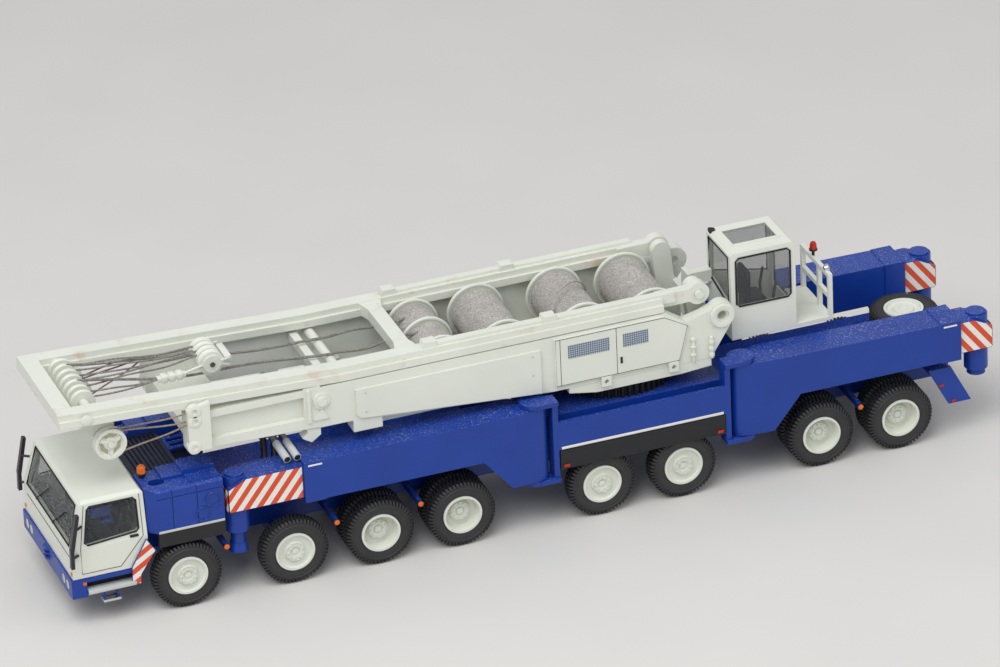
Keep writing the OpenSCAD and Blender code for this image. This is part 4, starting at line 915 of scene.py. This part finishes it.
def pulley_block():
    """Pulley block and the small block beside it, with their falls to the gantry head."""
    falls = Shape(DARK_TWINE, IVORY, STEEL)
    hub = Vector((HEAD_X - 59.4, 0, HEAD_PIN.z + 0.6))
    tow = Vector((HEAD_X - 44.6, 7, HEAD_PIN.z - 0.4))
    for k, y in enumerate((-12, -8, -4, 0, 4, 8, 12)):
        if k < 5:
            end = hub + Vector((3.4, 0.3 * y, 2.6 - 0.9 * (k % 3)))
        else:
            end = tow + Vector((4, 0.1 * y - 1, 0.2))
        head = (HEAD_PIN.x - 3.6, y, HEAD_PIN.z + 1.2)
        falls.tube(sagging(end, head, 0.8, 1.2 - 0.6 * (k % 4)), FALL_R)
    groove = [(0.6, -1.3), (4.3, -1.3), (4.4, -1.0), (3.9, 0), (4.4, 1.0), (4.3, 1.3), (0.6, 1.3)]
    for y in (-4.6, -1.6, 1.6, 4.6):
        falls.turned("y", hub, [(r, y + w) for r, w in groove], IVORY, 40)
    lug = [(hub.x - 6.4, hub.z - 1.4), (hub.x - 6.4, hub.z + 1.4)]
    cheek = sorted(polygon_ring((hub.x, hub.z), 3.2, 20) + lug,
                   key=lambda p: math.atan2(p[1] - hub.z, p[0] - hub.x + 1.5))
    for y in (-6.3, 6.3):
        falls.plate("y", cheek, y - 0.35, y + 0.35, IVORY)
    falls.turned("y", hub, [(0, -7), (0.9, -7), (0.9, 7), (0, 7)], STEEL, 16)
    falls.block(hub + Vector((-7.4, -5, -1.2)), hub + Vector((-4.9, 5, 1.2)), 0.4, IVORY)
    for along in (0, 2.7, 5.4):
        falls.block(tow + Vector((along - 4, -1.7, -1.3)), tow + Vector((along - 1.7, 1.7, 1.3)), 0.5, IVORY)
    falls.block(tow + Vector((-5, -1.2, -0.8)), tow + Vector((5, 1.2, 0.8)), 0.3, IVORY)
    falls.tube([hub + Vector((2, 5.4, 0)), tow + Vector((-4, 0, 0))], 0.5, IVORY)
    falls.piece("pulley_block", "gantry")


def gantry_fittings():
    """Pin heads on the gantry legs, and raised spokes on the hanging sheaves with darker ivory sectors between
    them, painted shade for the sheaves' openings.
    """
    fittings = Shape(IVORY, PAINTED_SHADE_IVORY)
    rim_r, web_y = 4.1, 19.9
    for side in LEFT_AND_RIGHT:
        pin = (HEAD_X - 9.5, side * GANTRY_HIGH.y, GANTRY_HIGH.z - 3)
        head = [(2.0, -0.05 * side), (2.0, 0.3 * side), (1.7, 0.45 * side), (0, 0.5 * side)]
        fittings.turned("y", pin, head, steps=32)
        for k in range(3):
            # Thin darker plate between two spokes: painted shade for an opening of the sheave
            between = math.radians(90 + 120 * k)
            polar = [(2.3, -0.55), (2.3, 0), (2.3, 0.55),
                     (rim_r - 0.2, 0.75), (rim_r - 0.2, 0), (rim_r - 0.2, -0.75)]
            sector = [(SHEAVE_X + r * math.cos(between + a), SHEAVE_Z + r * math.sin(between + a))
                      for r, a in polar]
            fittings.plate("y", sector, side * web_y, side * (web_y + 0.03), PAINTED_SHADE_IVORY)
            turn = Matrix.Rotation(math.radians(30 + 120 * k), 2)
            spoke = [turn @ Vector(c) for c in ((1.6, 0.8), (rim_r, 0.55), (rim_r, -0.55), (1.6, -0.8))]
            fittings.plate("y", [(SHEAVE_X + c.x, SHEAVE_Z + c.y) for c in spoke],
                           side * web_y, side * (web_y + 0.6))
    fittings.piece("gantry_fittings", "gantry")


for drum_number in range(1, 5):
    winch_drum(drum_number)
hauling_ropes()
tail_ropes()
pulley_block()
gantry_fittings()


# Superstructure sides and operator's cab

DOOR_LOW = 51.3
DOOR_HIGH = 68.8
GRILLE_LOW = 61
GRILLE_HIGH = 66
SILL_Z = 62.5
PANE_TOP = 81.0
GASKET_R = 0.36


def door_prints(prints, side):
    """Printed grilles, door gaps, a handle and fasteners on one side panel."""
    face = side * PANEL_Y
    for start, stop in ((SLEW.x - 4.9, SLEW.x + 4.2), (SLEW.x + 9.2, SLEW.x + 24.2)):
        grille = [(start, GRILLE_LOW), (stop, GRILLE_LOW), (stop, GRILLE_HIGH), (start, GRILLE_HIGH)]
        prints.plate("y", grille, face, face + side * FILM)
    door = [(SLEW.x - 16, DOOR_LOW), (SLEW.x + 28.6, DOOR_LOW), (SLEW.x + 28.6, DOOR_HIGH),
            (SLEW.x - 11, DOOR_HIGH), (SLEW.x - 19.4, 64)]
    prints.tube([(x, face, z) for x, z in door], SEAM_R, SEAM_AND_SHADE, sides=6, closed=True)
    for x in (SLEW.x + 6.6, SLEW.x + 27):
        prints.tube([(x, face, DOOR_LOW), (x, face, DOOR_HIGH)], SEAM_R, SEAM_AND_SHADE, sides=6)
    prints.block((SLEW.x + 4.6, face - 0.25, 55), (SLEW.x + 5.4, face + 0.25, 57.4), 0.1, BLACK)
    bolt = [(0.4, -0.05), (0.4, side * 0.12), (0.22, side * 0.24), (0, side * 0.25)]
    for x in (SLEW.x + 37, SLEW.x + 97):
        for z in (57.6, 64.8):
            prints.turned("y", (x, face, z), bolt, SILVER, BOLT_STEPS)


def boom_foot(prints, side):
    """Ring on the boom foot eye, and the ribbed post and hinge beside it."""
    eye = (SLEW.x - 32.4, side * UPPER_Y, 64.6)
    prints.turned("y", eye, [(2.3, -0.05 * side), (2.3, 0.8 * side), (2.6, 0.9 * side), (4.1, 0.9 * side),
                             (4.4, 0.7 * side), (4.4, -0.05 * side)], IVORY, 40)
    post = Vector((SLEW.x - 28, side * (UPPER_Y + 0.6), 49.6))
    prints.tube([post, post + Vector((0, 0, 8))], 0.7, IVORY, sides=16)
    collar = [(0.6, -0.6), (1.0, -0.5), (1.0, 0.5), (0.6, 0.6)]
    for rise in (1.2, 3.6, 6.0):
        prints.turned("z", post + Vector((0, 0, rise)), collar, IVORY, 20)
    hinge = post + Vector((6.8, 0, 0))
    prints.block(hinge + Vector((-0.5, -0.5, -0.2)), hinge + Vector((0.5, 0.5, 9.4)), 0.15, IVORY)
    for rise in (2.0, 5.0, 8.0):
        prints.block(hinge + Vector((-0.9, -0.7, rise)), hinge + Vector((0.9, 0.7, rise + 1.1)), 0.25, IVORY)


def hook_bosses(prints, side):
    """Round bosses on the plate at the girder's end, where the tail ropes start."""
    face = side * (UPPER_Y + 2.2)
    for x, z, r in ((HOOK_X + 0.9, 72.0, 2.4), (HOOK_X + 0.9, 68.4, 2.3), (HOOK_X + 1.6, 58.6, 2.4)):
        boss = [(r, -2 * side), (r, 0.15 * side), (r - 0.3, 0.3 * side), (1.0, 0.3 * side),
                (0.9, -0.3 * side), (0, -0.3 * side)]
        prints.turned("y", (x, face, z), boss, IVORY, 32)


def girder_prints():
    """Prints and small fittings on both sides of the superstructure."""
    prints = Shape(GRILLE, SEAM_AND_SHADE, BLACK, SILVER, IVORY)
    for side in LEFT_AND_RIGHT:
        door_prints(prints, side)
        boom_foot(prints, side)
        hook_bosses(prints, side)
    prints.piece("girder_prints", "superstructure")


def window_gaskets(trim, low, high):
    """Gaskets round the windows on the four sides of the operator's cab."""
    x0, x1 = low.x + 2, high.x - 2
    y0, y1 = low.y + 2, high.y - 2
    near = [(x0, SILL_Z + 1), (x0 + 1, SILL_Z), (x1 - 1, SILL_Z), (x1, SILL_Z + 1), (x1, PANE_TOP - 1),
            (x1 - 1, PANE_TOP), (x0 + 1, PANE_TOP), (x0, PANE_TOP - 1)]
    far = [(x0, SILL_Z), (x1, SILL_Z + 4), (x1, PANE_TOP), (x0, PANE_TOP)]
    for y, outline in ((high.y + SKIN, near), (low.y - SKIN, far)):
        trim.tube([(x, y, z) for x, z in outline], GASKET_R, sides=8, closed=True)
    front, rear = (high.x + SKIN, SILL_Z + 4, SILL_Z), (low.x - SKIN, SILL_Z - 4, SILL_Z - 4)
    for x, far_sill, near_sill in (front, rear):
        outline = [(y0, far_sill), (y1, near_sill), (y1, PANE_TOP), (y0, PANE_TOP)]
        trim.tube([(x, y, z) for y, z in outline], GASKET_R, sides=8, closed=True)


def operator_seat(trim, low):
    """Seat and two levers inside the operator's cab."""
    trim.block((low.x + 8, low.y + 5, 53), (low.x + 15, low.y + 15, 60), 0.8, BLACK)
    trim.block((low.x + 13.6, low.y + 5.6, 59), (low.x + 15.6, low.y + 14.4, 71), 0.8, BLACK)
    for y in (low.y + 4, low.y + 16):
        trim.tube([(low.x + 6, y, 52), (low.x + 6.4, y, 60), (low.x + 5.2, y, 66)], 0.5, BLACK)


def railing_lamps(trim):
    """Red beacon on its stalk and a bright lamp on the railing."""
    rail_x = box("operator_cab")[0].x + 0.5
    beacon_y, beacon_z = 1.8, 69.4
    trim.tube([(rail_x, beacon_y, 66.5), (rail_x, beacon_y, beacon_z)], 0.5, BLACK, sides=12)
    trim.turned("z", (rail_x, beacon_y, beacon_z), [(1.5, 0), (1.5, 0.5), (0, 0.5)], BLACK)
    trim.turned("z", (rail_x, beacon_y, beacon_z + 0.4), [(1.25, 0), (1.25, 1.6), (0.9, 2.6), (0, 3)], RED)
    bright = (rail_x, 13.4, 67.8)
    trim.turned("x", bright, [(0, 1.0), (1.0, 0.9), (1.5, 0), (1.5, -0.6), (1.35, -0.7)], PLATING)
    trim.turned("x", bright, [(0, -0.75), (0.9, -0.65), (1.36, -0.5)], LENS)


def operator_trim():
    """Gaskets, work lamp, roof bar, seat and railing lamps of the operator's cab."""
    trim = Shape(GASKET, PLATING, LENS, RED, BLACK, IVORY)
    margin = Vector((0.2, 0.2, 0.2))
    low, high = OCAB_LOW - margin, OCAB_HIGH + margin
    window_gaskets(trim, low, high)
    work_lamp = Vector((high.x - 1.6, low.y + 1.8, high.z - 0.2))
    trim.turned("x", work_lamp, [(0, -0.9), (0.9, -0.7), (1.3, 0.6), (1.35, 1.3), (1.15, 1.35)], BLACK)
    trim.turned("x", work_lamp, [(0, 1.0), (0.7, 1.1), (1.15, 1.3)], LENS)
    trim.block((low.x + 3.4, high.y - 5.9, high.z - 0.3),
               (high.x - 3.4, high.y - 4.9, high.z + 0.5), 0.2, IVORY)
    operator_seat(trim, low)
    railing_lamps(trim)
    trim.piece("operator_trim", "superstructure")


girder_prints()
operator_trim()


# Floor, light and camera

FLOOR_REACH = 6.0
SKY_STRENGTH = 0.58
LAMPS = (("key_lamp", (0.5, 0.5, 1.1), 0.9, 11.0), ("fill_lamp", (-0.9, 0.6, 0.7), 0.8, 2.5))
CAMERA_TARGET = Vector((1.74, 0, 61.9))
CAMERA_DISTANCE = 2501.8
CAMERA_AZIMUTH = math.radians(19.289)
CAMERA_ELEVATION = math.radians(28.138)
CAMERA_ROLL = math.radians(-2.705)
CAMERA_LENS = 264.4


def pale_floor():
    """Plain pale floor: matt card, a little uneven in tone."""
    material, tree, shader = surface("pale_floor", Roughness=0.9)
    _, _, colour = clouded(tree, 60, 2.0, "#d9d7d3", "#d2d0cc")
    tree.links.new(colour, shader.inputs["Base Color"])
    mesh = bpy.data.meshes.new("floor")
    corners = [(x * FLOOR_REACH, y * FLOOR_REACH, 0) for x, y in ((-1, -1), (1, -1), (1, 1), (-1, 1))]
    mesh.from_pydata(corners, [], [[0, 1, 2, 3]])
    mesh.materials.append(material)
    floor = bpy.data.objects.new("floor", mesh)
    bpy.context.scene.collection.objects.link(floor)


def studio():
    """An even sky, a large soft lamp on the side of the camera and a weaker one behind."""
    world = bpy.data.worlds.new("even_sky")
    world.use_nodes = True
    sky = world.node_tree.nodes["Background"]
    sky.inputs["Color"].default_value = linear("#f4f6fa")
    sky.inputs["Strength"].default_value = SKY_STRENGTH
    bpy.context.scene.world = world
    for name, place, size, power in LAMPS:
        light = bpy.data.lights.new(name, "AREA")
        light.size = size
        light.energy = power
        made = bpy.data.objects.new(name, light)
        made.location = place
        made.rotation_euler = Vector(place).to_track_quat("Z", "Y").to_euler()
        bpy.context.scene.collection.objects.link(made)


def camera():
    """Long lens at the photograph's angle."""
    flat = math.cos(CAMERA_ELEVATION)
    back = Vector((math.sin(CAMERA_AZIMUTH) * flat, math.cos(CAMERA_AZIMUTH) * flat,
                   math.sin(CAMERA_ELEVATION)))
    right = Vector((0, 0, 1)).cross(back).normalized()
    up = back.cross(right)
    turned_right = math.cos(CAMERA_ROLL) * right + math.sin(CAMERA_ROLL) * up
    turned_up = math.cos(CAMERA_ROLL) * up - math.sin(CAMERA_ROLL) * right
    lens = bpy.data.cameras.new("photo_camera")
    lens.lens = CAMERA_LENS
    lens.sensor_width = 36
    lens.clip_end = 50
    made = bpy.data.objects.new("photo_camera", lens)
    made.matrix_world = Matrix.Translation((CAMERA_TARGET + CAMERA_DISTANCE * back) * MM) @ Matrix(
        (turned_right, turned_up, back)).transposed().to_4x4()
    bpy.context.scene.collection.objects.link(made)
    bpy.context.scene.camera = made


pale_floor()
studio()
camera()
bpy.context.scene.view_settings.view_transform = "Standard"
